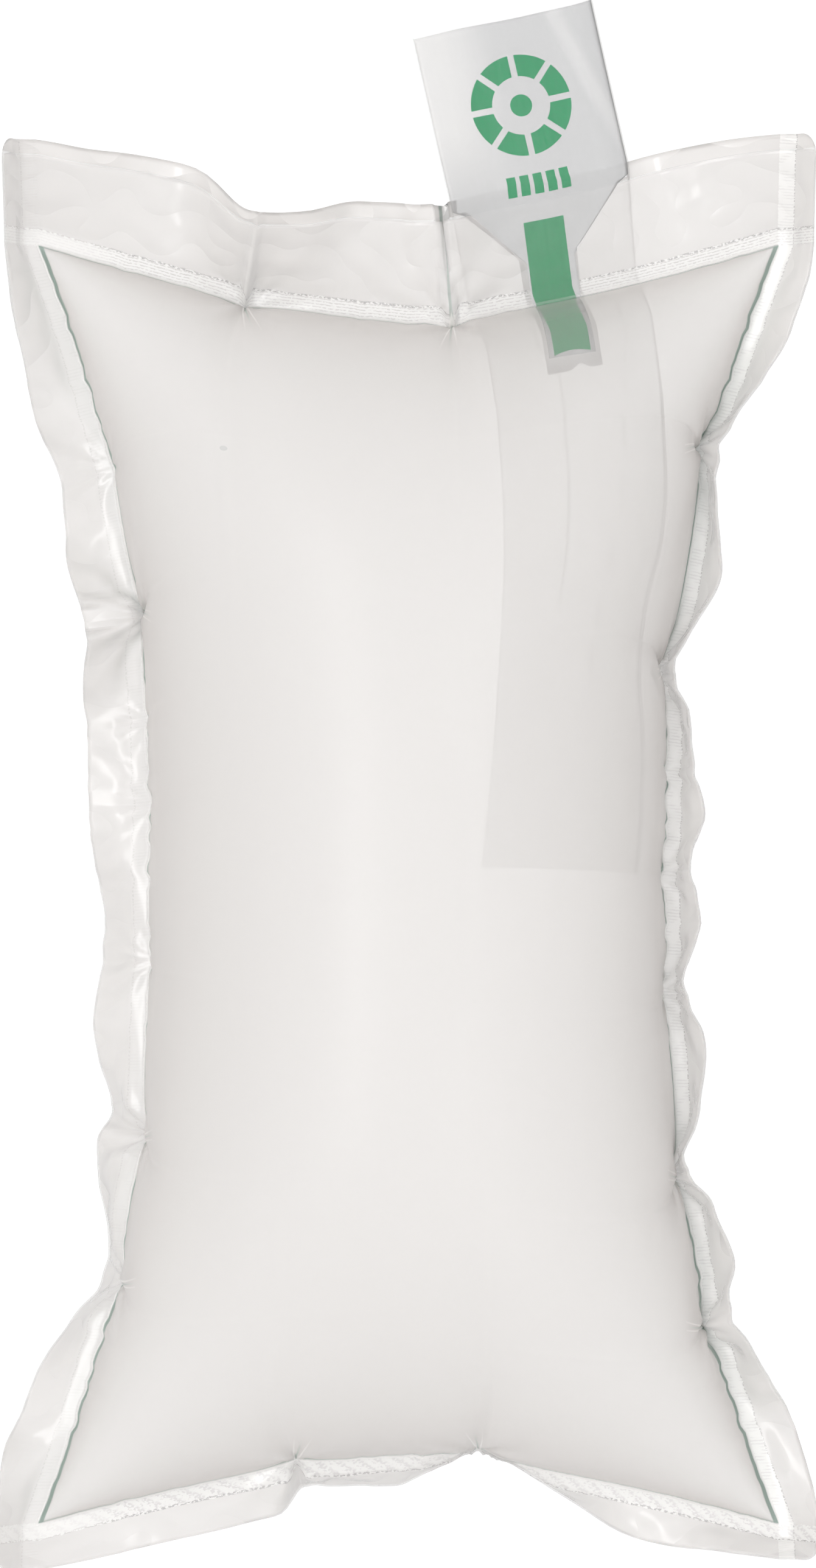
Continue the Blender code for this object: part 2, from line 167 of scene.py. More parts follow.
LEFT_WELD = Weld(
    Side.LEFT,
    0.222,
    0.020,
    (
        Pucker(-0.620, 0.0035, -0.0030, 0.0006, 0.012, 0.010),
        Pucker(-0.390, 0.0045, 0.0035, 0.0007, 0.012, 0.008),
        Pucker(-0.118, 0.0015, -0.0020),
        Pucker(0.124, 0.0012, 0.0010, 0.0003),
        Pucker(0.254, 0.0012, -0.0010, 0.0003),
        Pucker(0.421, 0.0040, 0.0030, 0.0008, 0.012, 0.008),
        Pucker(0.653, 0.0020, -0.0020, 0.0003),
    ),
    (
        (-1.0, 0.0132, 1), (-0.912, 0.0192, 1), (-0.861, 0.0190, -1), (-0.774, 0.0170, -1),
        (-0.681, 0.0097, -1), (-0.634, 0.0050, -1), (-0.573, 0.0043, -1), (-0.480, 0.0109, -1),
        (-0.404, 0.0133, -1), (-0.357, 0.0095, -1), (-0.277, 0.0156, -1), (-0.216, 0.0176, -1),
        (-0.134, 0.0160, -1), (-0.054, 0.0150, -1), (0.003, 0.0167, -1), (0.124, 0.0199, -1),
        (0.254, 0.0195, -1), (0.330, 0.0190, 1), (0.389, 0.0170, 1), (0.460, 0.0180, 1),
        (0.569, 0.0187, -1), (0.645, 0.0173, -1), (0.807, 0.0185, 1), (0.906, 0.0157, 1), (1.0, 0.0102, 1),
    ),
)

RIGHT_WELD = Weld(
    Side.RIGHT,
    0.222,
    0.017,
    (
        Pucker(-0.688, 0.0040, 0.0030, 0.0006, 0.010, 0.008),
        Pucker(-0.452, 0.0045, 0.0030, 0.0008, 0.014, 0.012),
        Pucker(-0.168, 0.0030, -0.0025, 0.0006),
        Pucker(0.018, 0.0028, 0.0010, 0.0005),
        Pucker(0.179, 0.0012, -0.0010, 0.0003),
        Pucker(0.331, 0.0080, 0.0040, 0.0008, 0.009, 0.012),
        Pucker(0.682, 0.0055, -0.0030, 0.0008, 0.009, 0.012),
    ),
    (
        (-1.0, 0.0122, 1), (-0.953, 0.0156, 1), (-0.866, 0.0169, 1), (-0.795, 0.0144, 1),
        (-0.714, 0.0096, 1), (-0.681, 0.0071, 1), (-0.652, 0.0073, 1), (-0.590, 0.0114, 1),
        (-0.507, 0.0078, 1), (-0.430, 0.0012, 1), (-0.350, 0.0077, 1), (-0.256, 0.0108, 1),
        (-0.144, 0.0052, 1), (-0.061, 0.0106, 1), (0.042, 0.0078, 1), (0.115, 0.0118, 1),
        (0.175, 0.0086, 1), (0.254, 0.0065, 1), (0.334, 0.0004, 1), (0.367, 0.0018, 1), (0.431, 0.0072, 1),
        (0.491, 0.0110, 1), (0.534, 0.0090, 1), (0.601, 0.0056, 1), (0.684, 0.0030, 1), (0.725, 0.0050, 1),
        (0.804, 0.0105, 1), (0.864, 0.0140, 1), (0.943, 0.0140, 1), (1.0, 0.0112, 1),
    ),
)

BOTTOM_WELD = Weld(
    Side.BOTTOM,
    0.1335,
    0.0165,
    (
        Pucker(-0.303, 0.0030, 0.0025, 0.0006, 0.012, 0.003),
        Pucker(-0.060, 0.0003, -0.0010, 0.0001),
        Pucker(0.191, 0.0044, -0.0030, 0.0007, 0.012, 0.006),
    ),
    (
        (-1.0, 0.0144, 1), (-0.845, 0.0160, 1), (-0.678, 0.0164, 1), (-0.510, 0.0164, -1),
        (-0.369, 0.0152, -1), (-0.294, 0.0080, -1), (-0.166, 0.0094, -1), (-0.048, 0.0104, -1),
        (0.039, 0.0064, -1), (0.128, 0.0018, -1), (0.201, -0.0020, -1), (0.273, 0.0000, -1),
        (0.344, 0.0038, -1), (0.450, 0.0090, -1), (0.575, 0.0150, -1), (0.711, 0.0163, 1),
        (0.815, 0.0140, 1), (1.0, 0.0104, 1),
    ),
)

TOP_WELD = Weld(
    Side.TOP,
    0.1335,
    0.040,
    (
        Pucker(-0.442, 0.0028, -0.0030, 0.0006, 0.012, 0.0015),
        Pucker(-0.160, 0.0003, 0.0010, 0.0001),
        Pucker(0.118, 0.0032, 0.0012, 0.0006, 0.012, 0.0015),
    ),
    (
        (-1.0, 0.0330, 1), (-0.910, 0.0340, 1), (-0.663, 0.0380, 1), (-0.466, 0.0270, 1),
        (-0.308, 0.0310, 1), (-0.156, 0.0370, 1), (-0.025, 0.0376, 1), (0.054, 0.0370, 1),
        (0.117, 0.0365, 1), (0.300, 0.0385, 1), (0.595, 0.0387, 1), (0.714, 0.0396, 1), (0.819, 0.0388, 1),
        (1.0, 0.0350, 1),
    ),
)


def through_points(places: Array, values: Array, at: Array) -> Array:
    """A smooth curve through points that never swings past them.

    Cubic Hermite pieces whose slope at each point is the harmonic mean of its two neighbours' slopes, or zero
    at a peak.

    Args:
        places: The points' places, rising.
        values: Their values.
        at: Where the curve is read.

    Returns:
        The curve's values there.
    """
    step = np.diff(places)
    slope = np.diff(values) / step
    both = slope[:-1] * slope[1:]
    mean = np.where(both > 0, 2 * both / np.where(both > 0, slope[:-1] + slope[1:], 1), 0)
    tangent = np.concatenate([slope[:1], mean, slope[-1:]])
    k = np.clip(np.searchsorted(places, at) - 1, 0, len(step) - 1)
    x = (at - places[k]) / step[k]
    rise = values[k] + (values[k + 1] - values[k]) * (3 * x**2 - 2 * x**3)
    bend = step[k] * (tangent[k] * x * (1 - x) ** 2 - tangent[k + 1] * x**2 * (1 - x))
    return rise + bend


def even_steps(centres: tuple[float, ...], count: int, width: float, gain: float) -> Array:
    """Places from -1 to 1 that lie closer together round some centres and at both ends.

    The places are even steps of the running sum of a density, which is 1 plus a bump at each centre.

    Args:
        centres: Where the places crowd.
        count: How many steps.
        width: The bumps' width, as a share of half the length.
        gain: How much denser the places are at a bump's top.

    Returns:
        count + 1 rising places.
    """
    fine = np.linspace(-1, 1, 4001)
    all_centres = np.array([-1.0, *centres, 1.0])
    density = 1 + gain * np.exp(-(((fine[:, None] - all_centres) / width) ** 2)).max(axis=1)
    total = np.cumsum(density)
    total = (total - total[0]) / (total[-1] - total[0])
    return np.interp(np.linspace(0, 1, count + 1), total, fine)


def normals_of(points: Array) -> Array:
    """The unit normal at each point of a grid: the cross product of its steps along the rows and columns."""
    normal = np.cross(np.gradient(points, axis=1), np.gradient(points, axis=0))
    return normal / np.maximum(np.linalg.norm(normal, axis=-1), 1e-12)[..., None]


def read_rows(rows: Array, x: Array) -> Array:
    """Reads each row of a grid of points at its own X places, on the straight lines between its points.

    Args:
        rows: Rows by columns by values. The first value is X, which rises along a row.
        x: Rows by places.

    Returns:
        Rows by places by values.
    """
    k = np.clip((rows[:, None, :, 0] <= x[:, :, None]).sum(axis=-1) - 1, 0, rows.shape[1] - 2)
    low = np.take_along_axis(rows, k[..., None], axis=1)
    high = np.take_along_axis(rows, k[..., None] + 1, axis=1)
    share = (x - low[..., 0]) / (high[..., 0] - low[..., 0])
    return low + (high - low) * share[..., None]


@dataclass(frozen=True)
class FilmGrid:
    """The level surface of the welds and skirts, which both panels follow.

    points lie in the level of the welds, rise is the front panel's height over them, and u and v are the
    film's flat coordinates. chamber gives the chamber's first row and the one past its last, and its columns.
    """

    points: Array
    rise: Array
    u: Array
    v: Array
    chamber: tuple[int, int, int, int]


@dataclass(frozen=True)
class BagForm:
    """The form of the filled bag, worked out from the flat bag's sizes.

    The chamber is half a round tube in the middle and flattens towards the end welds. See the part's own
    source for the same formula on a coarse grid. The gathers are how much shorter the welds are than the flat
    film, the sags how far the end welds bow in, and the bows the powers of their curves. A crowd is the width
    of a bump in the grid's density and its gain. A weld wave is its length, its share and its start, and a
    skirt wave its length over 2 pi and its start.
    """

    width: float = 0.267
    length: float = 0.444
    seal: float = 0.0056
    end_gather: float = 0.024
    side_gather: float = 0.024
    top_sag: float = 0.025
    bottom_sag: float = 0.022
    side_bow: float = 2.4
    top_bow: float = 1.5
    bottom_bow: float = 1.6
    flat_ends: Pair = (2.6, 0.6)
    floor_dent: float = 0.0025
    mid_x: float = 0.0
    mid_y: float = -0.0330
    clearance: float = 0.0003
    film: float = 0.00008
    front_short: float = 0.0055
    notch_width: float = 0.011
    lift_width: float = 0.016
    groove: float = 0.032
    end_groove: float = 0.30
    strip_share: float = 0.30
    strip_gives: float = math.radians(62.0)
    strip_bend: float = 0.0024
    path_steps: int = 80
    corner_radius: float = 0.009
    flutter: float = 0.00050
    end_flutter: float = 0.00020
    flutter_fade: float = 0.006
    flutter_waves: tuple[Triple, ...] = ((0.0094, 1.0, 0.7), (0.0143, 0.8, 2.1), (0.0061, 0.6, 0.0))
    flutter_swell: Pair = (7.3, 1.2)
    fan_folds: float = 1.7
    fan_shift: float = 0.31
    fan_gain: float = 1.6
    fan_tip: float = 0.0008
    fan_rise: float = 0.006
    fan_fade: float = 0.020
    skirt_wave: float = 0.00022
    skirt_waves: Knots = ((0.0069, 1.3), (0.0041, 0.0))
    skirt_wave_rise: float = 0.012
    ridges: float = 5.2
    ridge_shift: float = 1.3
    ridge_gain: float = 2.4
    ridge_tip: float = 0.0012
    weld_holds: float = 0.0016
    furrow_gain: float = 0.8
    furrow_pitch: float = 0.0046
    furrow_half: float = 0.0013
    furrow_fade: float = 0.014
    rows: int = 310
    columns: int = 92
    cell: float = 0.0014
    side_crowd: Pair = (0.026, 3.0)
    end_crowd: Pair = (0.07, 2.2)
    left: Weld = LEFT_WELD
    right: Weld = RIGHT_WELD
    bottom: Weld = BOTTOM_WELD
    top: Weld = TOP_WELD

    @property
    def half_height(self) -> float:
        """The radius of the tube that the chamber's width makes."""
        return self.width / math.pi

    @property
    def seam_z(self) -> float:
        """The height of the welds over the floor."""
        return self.half_height - self.floor_dent

    @property
    def single_from(self) -> float:
        """V of the front panel's edge at the top, past which the back panel lies alone."""
        return self.length / 2 + self.top.skirt - self.front_short

    @property
    def half_chord(self) -> Pair:
        """Half the distance between the chamber's corners, across and along."""
        return (self.width - self.end_gather) / 2, (self.length - self.side_gather) / 2

    def seam_lines(self, s: Array, t: Array) -> tuple[Array, Array, Array, Array]:
        """The smooth weld lines seen from above: each bows in from its chord by a power of its place.

        Args:
            s: Places across the bag, from -1 to 1.
            t: Places along it.

        Returns:
            X of the left and right welds at t, and Y of the bottom and top welds at s.
        """
        chord_x, chord_y = self.half_chord
        bow = (chord_x - self.half_height) * (1 - np.abs(t) ** self.side_bow)
        left = self.mid_x - chord_x + bow
        right = self.mid_x + chord_x - bow
        top = self.mid_y + chord_y - self.top_sag * (1 - np.abs(s) ** self.top_bow)
        bottom = self.mid_y - chord_y + self.bottom_sag * (1 - np.abs(s) ** self.bottom_bow)
        return left, right, bottom, top

    def weld_flutter(self, weld: Weld, place: Array) -> Array:
        """The small waves in a weld's inner line: sines of unlike length that swell and fade."""
        along = place * weld.half * 2 * math.pi
        waves = sum(share * np.sin(along / length + start) for length, share, start in self.flutter_waves)
        rate, start = self.flutter_swell
        swell = 0.5 + 0.5 * np.sin(place * rate + start)
        strength = self.flutter if weld.side.runs_along else self.end_flutter
        return strength * waves * swell * (1 - np.abs(place) ** 6)

    def lines(self) -> tuple[Array, Array]:
        """Where the chamber's grid lines meet the welds: rows join left places to right ones, columns bottom
        places to top ones."""
        rows = [even_steps(weld.places, self.rows, *self.side_crowd) for weld in (self.left, self.right)]
        columns = [even_steps(weld.places, self.columns, *self.end_crowd) for weld in (self.bottom, self.top)]
        return np.stack(rows, axis=1), np.stack(columns, axis=1)

    @staticmethod
    def crossings(rows: Array, columns: Array) -> tuple[Array, Array]:
        """Where slanting rows and columns cross: the meeting points of two families of straight lines.

        Args:
            rows: Each row's place on the left and right side.
            columns: Each column's place on the bottom and top side.

        Returns:
            Places across and along, from -1 to 1, rows by columns.
        """
        row_mid, row_lean = rows.mean(axis=1)[:, None], np.diff(rows, axis=1) / 2
        column_mid, column_lean = columns.mean(axis=1), np.diff(columns, axis=1)[:, 0] / 2
        across = (column_mid + column_lean * row_mid) / (1 - column_lean * row_lean)
        return across, row_mid + row_lean * across

    def chamber(self, across: Array, along: Array) -> tuple[Array, Array]:
        """The level points and the rise of the chamber's film.

        Across the middle, X is a sine and the rise its cosine of the film's own place, which is half a
        circle. Towards the ends the rise falls with a power of the place along. A pucker pulls in its weld
        by a cusp, and a groove runs from it up the film.

        Args:
            across: Places across the film, from -1 to 1.
            along: Places along it.

        Returns:
            Points in the level of the welds, and the front film's height over them.
        """
        s = across + (np.sin(math.pi / 2 * across) - across) * (1 - np.abs(along) ** 3)
        t = along + (np.sin(math.pi / 2 * along) - along) * 0.5 * (1 - np.abs(across) ** 3)
        left, right, bottom, top = self.seam_lines(s, t)
        x = left + (right - left) * (s + 1) / 2
        y = bottom + (top - bottom) * (t + 1) / 2
        ends = np.clip(1 - np.abs(t) ** self.flat_ends[0], 0, 1) ** self.flat_ends[1]
        rise = self.half_height * np.sqrt(np.clip(1 - s**2, 0, 1)) * ends
        level = np.zeros_like(x)
        for weld, place, inward, sign in self.around(across, along):
            fade = np.exp(-inward / self.groove)
            notch = weld.bumps("notch", place, self.notch_width, 1) * fade
            flutter = self.weld_flutter(weld, place) * np.exp(-inward / self.flutter_fade)
            level = level + weld.bumps("lift", place, self.lift_width, 2) * fade
            if weld.side.runs_along:
                x = x + sign * (notch + flutter)
                rise = rise * (1 - notch / self.half_height)
            else:
                y = y + sign * (notch + flutter)
                deepest = max(pucker.notch for pucker in weld.puckers)
                rise = rise * (1 - self.end_groove * notch / deepest)
        return np.stack([x, y, self.seam_z + level], axis=-1), rise

    def around(self, across: Array, along: Array) -> tuple[tuple[Weld, Array, Array, int], ...]:
        """For each weld: itself, places along it, distances in from it, and the sign of inward."""
        half_x, half_y = self.width / 2, self.length / 2
        return (
            (self.left, along, (1 + across) * half_x, 1),
            (self.right, along, (1 - across) * half_x, -1),
            (self.bottom, across, (1 + along) * half_y, 1),
            (self.top, across, (1 - along) * half_y, -1),
        )

    @staticmethod
    def outward(line: Array, sign: int) -> Array:
        """The level direction away from the chamber: square to the weld line, and at its two ends square to
        the chord between the corners."""
        step = np.gradient(line[:, :2], axis=0)
        step /= np.linalg.norm(step, axis=1)[:, None]
        chord = (line[-1] - line[0])[:2]
        chord /= np.linalg.norm(chord)
        end = np.linspace(-1, 1, len(line))[:, None] ** 4
        step = step * (1 - end) + chord * end
        away = np.stack([step[:, 1], -step[:, 0], np.zeros(len(step))], axis=-1) * sign
        return away / np.linalg.norm(away, axis=1)[:, None]

    def skirt_path(self, weld: Weld, smooth: Array, place: Array, sign: int) -> tuple[Array, Array]:
        """The way out across a skirt, in fine steps, at each place along its weld.

        The welded strip is stiff and lies flatter than the loose film beyond it, which bends at the strip's
        outer edge just as much as keeps the skirt's whole reach from above.

        Args:
            weld: The weld.
            smooth: Its inner line without notches.
            place: Places along it.
            sign: 1 or -1, the way outward turns.

        Returns:
            The way from the weld and the skirt's normal, at each of path_steps + 1 even distances.
        """
        away = self.outward(smooth, sign)
        tilt = weld.tilt(place)
        steep = np.clip((np.abs(tilt) - self.strip_gives) / (math.pi / 2 - self.strip_gives), 0, 1)
        strip = np.abs(tilt) * (self.strip_share + (1 - self.strip_share) * steep)
        least = (weld.skirt * (np.cos(tilt) - 1) + self.seal) / self.seal
        strip = np.arccos(np.clip(np.cos(strip) * weld.taper(place), np.maximum(least, 0), 1))
        strip = np.where(tilt < 0, -1, 1) * strip
        reach = weld.skirt * np.cos(tilt) - self.seal * np.cos(strip)
        loose = np.sign(tilt) * np.arccos(np.clip(reach / (weld.skirt - self.seal), -1, 1))
        out = np.linspace(0, weld.skirt, self.path_steps + 1)
        past = np.clip((out - self.seal) / self.strip_bend + 0.5, 0, 1)[:, None]
        angle = (strip + (loose - strip) * (3 * past**2 - 2 * past**3))[..., None]
        direction = np.cos(angle) * away + np.sin(angle) * UP
        steps = (direction[1:] + direction[:-1]) / 2 * out[1]
        way = np.concatenate([np.zeros_like(steps[:1]), np.cumsum(steps, axis=0)])
        return way, np.cos(angle) * UP - np.sin(angle) * away

    def at_distance(self, path: Array, weld: Weld, out: Array) -> Array:
        """Reads a skirt's path, or its normals, at distances out from the weld.

        Args:
            path: Steps by places by 3, or steps by 3 for a single place.
            weld: The weld.
            out: The distances: one for each row, or any grid of them for a single place.

        Returns:
            Rows by places by 3, or the grid's shape by 3.
        """
        at = out / weld.skirt * self.path_steps
        k = np.clip(at.astype(int), 0, self.path_steps - 1)
        share = (at - k).reshape(*out.shape, *(1,) * (path.ndim - 1))
        return path[k] + (path[k + 1] - path[k]) * share

    def fan(self, weld: Weld, place: Array, out: Array) -> Array:
        """The skirt's creases: ridges that fan out from each pucker's tip, with flat facets between them.

        A triangle wave of the angle round the tip, times the distance from it up to a few millimetres, fading
        with the distance.

        Args:
            weld: The weld.
            place: Places along it.
            out: Distances out from it.

        Returns:
            How far the film moves along its normal.
        """
        total = np.zeros(np.broadcast(place, out).shape)
        for n, pucker in enumerate(weld.puckers):
            beside = (place - pucker.place) * weld.half
            far = np.hypot(beside, out)
            angle = np.arctan2(beside, out + self.fan_tip)
            wave = np.abs(((angle * self.fan_folds + self.fan_shift * n) % 1.0) * 2 - 1) * 2 - 1
            size = np.clip(far / self.fan_rise, 0, 1) * np.exp(-far / self.fan_fade)
            total += pucker.crease * self.fan_gain * wave * size
        waves = sum(np.sin(place * weld.half / length + start) for length, start in self.skirt_waves)
        waves = self.skirt_wave * waves * np.clip(out / self.skirt_wave_rise, 0, 1)
        return (total + waves) * (1 - np.abs(place) ** 8)

    def skirt(
        self, weld: Weld, line: Array, smooth: Array, place: Array, out: Array, paths: tuple[Array, Array]
    ) -> Array:
        """A skirt's points: out from the weld along its direction, with the notch fading and creases added.

        Args:
            weld: The weld.
            line: Its inner line with its notches.
            smooth: The same line without them.
            place: Places along it.
            out: The rows' distances from the weld.
            paths: The skirt's path and its normals.

        Returns:
            Points, rows of the skirt by places along the weld.
        """
        way, normal = (self.at_distance(path, weld, out) for path in paths)
        level = np.array([1.0, 1.0, 0.0])
        base = smooth * level + line * UP
        flat = base + (line - smooth) * level * np.exp(-out[:, None, None] / (2 * self.seal)) + way
        return flat + normal * self.fan(weld, place[None], out[:, None])[..., None]

    def corner(
        self, side_out: Array, end_out: Array, side_skirt: float, end_skirt: float
    ) -> tuple[Array, Array]:
        """Distances outside the two welds over a corner of the film, with the corner rounded.

        Near the corner the square between the two straight edges is pressed into a quarter disc: each
        coordinate is scaled by the square root of 1 less half the other's square.

        Args:
            side_out: The columns' distances outside the side weld.
            end_out: The rows' distances outside the end weld.
            side_skirt: The side skirt's width.
            end_skirt: The end skirt's width.

        Returns:
            The two distances, rows by columns.
        """
        radius = self.corner_radius
        b, a = np.meshgrid(end_out, side_out, indexing="ij")
        x = np.clip((a - side_skirt + radius) / radius, 0, 1)
        y = np.clip((b - end_skirt + radius) / radius, 0, 1)
        a = a - radius * x * (1 - np.sqrt(1 - y**2 / 2))
        b = b - radius * y * (1 - np.sqrt(1 - x**2 / 2))
        return a, b

    def outs(self, weld: Weld) -> Array:
        """The distances of a skirt's rows from its weld. The top one has a row where the front panel ends."""
        if weld.side is not Side.TOP:
            count = round(weld.skirt / self.cell)
            return np.linspace(0, weld.skirt, count + 1)[1:]
        shared = weld.skirt - self.front_short
        count = round(shared / self.cell)
        return np.concatenate([np.linspace(0, shared, count + 1)[1:], shared + self.front_short * EDGE_ROWS])

    def grid(self) -> FilmGrid:
        """The whole film on one grid of rows and columns: the chamber, the four skirts and the corners."""
        rows, columns = self.lines()
        across, along = self.crossings(rows, columns)
        flat, rise = self.chamber(across, along)
        half_x, half_y = self.width / 2, self.length / 2
        outs = {weld.side: self.outs(weld) for weld in (self.bottom, self.top, self.left, self.right)}
        n_bottom, n_top, n_left, n_right = (len(out) for out in outs.values())
        shape = (n_bottom + len(rows) + n_top, n_left + len(columns) + n_right)
        points, u, v, full_rise = np.zeros((*shape, 3)), np.zeros(shape), np.zeros(shape), np.zeros(shape)
        r0, r1, c0, c1 = n_bottom, n_bottom + len(rows), n_left, n_left + len(columns)
        points[r0:r1, c0:c1], full_rise[r0:r1, c0:c1] = flat, rise
        u[r0:r1, c0:c1], v[r0:r1, c0:c1] = across * half_x, along * half_y
        ends = {}
        for weld, place, line, sign in (
            (self.left, along[:, 0], flat[:, 0], -1),
            (self.right, along[:, -1], flat[:, -1], 1),
            (self.bottom, across[0], flat[0], 1),
            (self.top, across[-1], flat[-1], -1),
        ):
            smooth = self.smooth_line(weld, place)
            paths = self.skirt_path(weld, smooth, place, sign)
            ends[weld.side] = paths[0][:, 0], paths[0][:, -1]
            flip = -1 if weld.side in (Side.LEFT, Side.BOTTOM) else 1
            made = self.skirt(weld, line, smooth, place, outs[weld.side], paths)[::flip]
            out = outs[weld.side][::flip]
            if weld.side.runs_along:
                zone = np.s_[r0:r1, :c0] if flip < 0 else np.s_[r0:r1, c1:]
                points[zone] = made.transpose(1, 0, 2)
                u[zone], v[zone] = flip * (half_x + out), (place * half_y)[:, None]
            else:
                zone = np.s_[:r0, c0:c1] if flip < 0 else np.s_[r1:, c0:c1]
                points[zone] = made
                u[zone], v[zone] = place * half_x, flip * (half_y + out)[:, None]
        for end, end_rows, row, y_sign in (
            (self.bottom, slice(0, r0), 0, -1),
            (self.top, slice(r1, None), -1, 1),
        ):
            for side, side_columns, column, x_sign in (
                (self.left, slice(0, c0), 0, -1),
                (self.right, slice(c1, None), -1, 1),
            ):
                a, b = self.corner(outs[side.side], outs[end.side], side.skirt, end.skirt)
                a, b = a[::y_sign, ::x_sign], b[::y_sign, ::x_sign]
                over_side = self.at_distance(ends[side.side][row], side, a)
                over_end = self.at_distance(ends[end.side][column], end, b)
                zone = end_rows, side_columns
                points[zone] = flat[row, column] + over_side + over_end
                u[zone], v[zone] = x_sign * (half_x + a), y_sign * (half_y + b)
        return FilmGrid(points, full_rise, u, v, (r0, r1, c0, c1))

    def smooth_line(self, weld: Weld, place: Array) -> Array:
        """A weld's inner line without its notches and waves, at places along it."""
        one = np.ones_like(place)
        s, t = {
            Side.LEFT: (-one, place),
            Side.RIGHT: (one, place),
            Side.BOTTOM: (place, -one),
            Side.TOP: (place, one),
        }[weld.side]
        left, right, bottom, top = self.seam_lines(s, t)
        x = left + (right - left) * (s + 1) / 2
        y = bottom + (top - bottom) * (t + 1) / 2
        return np.stack([x, y, np.full_like(x, self.seam_z)], axis=-1)

    def creases(self, across: Array, along: Array, face: Face) -> Array:
        """The small folds of the chamber's film, as a move along its normal.

        Round each pucker's tip, ridges fan out: the cosine of a few times the angle round the tip, fading
        with the distance. From each end pucker three straight furrows run along the bag. All fade to nothing
        on the weld itself.

        Args:
            across: Places across the film.
            along: Places along it.
            face: The panel.

        Returns:
            The move at each point.
        """
        total = np.zeros_like(across)
        for weld, place, inward, _ in self.around(across, along):
            held = 1 - np.exp(-inward / self.weld_holds)
            for n, pucker in enumerate(weld.puckers):
                beside = (place - pucker.place) * weld.half
                far = np.hypot(beside, inward)
                angle = np.arctan2(beside, inward + MILLIMETRE)
                ridges = np.cos(angle * self.ridges + self.ridge_shift * n * face.value)
                near = np.exp(-far / pucker.reach) * (1 - np.exp(-far / self.ridge_tip))
                folds = self.ridge_gain * ridges * near
                if not weld.side.runs_along:
                    aside = beside[..., None] - self.furrow_pitch * np.array([-1, 0, 1])
                    furrows = np.exp(-((aside / self.furrow_half) ** 2)).sum(axis=-1)
                    folds = folds + self.furrow_gain * furrows * np.exp(-inward / self.furrow_fade)
                total -= pucker.crease * folds * held
        return total


class Signal:
    """A number or colour worked out by nodes at each point, with arithmetic that adds the nodes."""

    def __init__(self, sketch: Sketch, socket: bpy.types.NodeSocket) -> None:
        """Keeps the node tree's sketch and the output socket that holds the value."""
        self.sketch = sketch
        self.socket = socket

    def __add__(self, other: Signal | float) -> Signal:
        """The sum."""
        return self.sketch.math("ADD", self, other)

    def __sub__(self, other: Signal | float) -> Signal:
        """The difference."""
        return self.sketch.math("SUBTRACT", self, other)

    def __rsub__(self, other: float) -> Signal:
        """The difference from a plain number."""
        return self.sketch.math("SUBTRACT", other, self)

    def __mul__(self, other: Signal | float) -> Signal:
        """The product."""
        return self.sketch.math("MULTIPLY", self, other)

    def __truediv__(self, other: Signal | float) -> Signal:
        """The quotient."""
        return self.sketch.math("DIVIDE", self, other)

    def __rtruediv__(self, other: float) -> Signal:
        """A plain number over this one."""
        return self.sketch.math("DIVIDE", other, self)

    def __abs__(self) -> Signal:
        """The size without its sign."""
        return self.sketch.math("ABSOLUTE", self)

    def wave(self, length: float) -> Signal:
        """A sine of the given wavelength."""
        return self.sketch.math("SINE", self * (2 * math.pi / length))

    def ramp(self, low: float, high: float) -> Signal:
        """A smooth step from 0 at low to 1 at high. With low over high it falls."""
        return self.sketch.ramp(self, low, high)

    def over(self, place: float, soft: float = SOFT_EDGE) -> Signal:
        """1 past a place and 0 before it, with a soft edge."""
        return self.ramp(place - soft, place + soft)

    def under(self, place: float, soft: float = SOFT_EDGE) -> Signal:
        """1 before a place and 0 past it, with a soft edge."""
        return self.ramp(place + soft, place - soft)

    def between(self, low: float, high: float) -> Signal:
        """The number low where this is 0, and high where it is 1."""
        return self * (high - low) + low

    def window(self, low: float, high: float, soft: float = SOFT_EDGE) -> Signal:
        """1 between low and high and 0 outside, with soft edges."""
        return self.over(low, soft) * self.under(high, soft)

    def line(self, place: float, half: float, soft: float = SOFT_EDGE) -> Signal:
        """1 on a line of the given half width round a place, and 0 beside it."""
        return abs(self - place).ramp(half + soft, half)


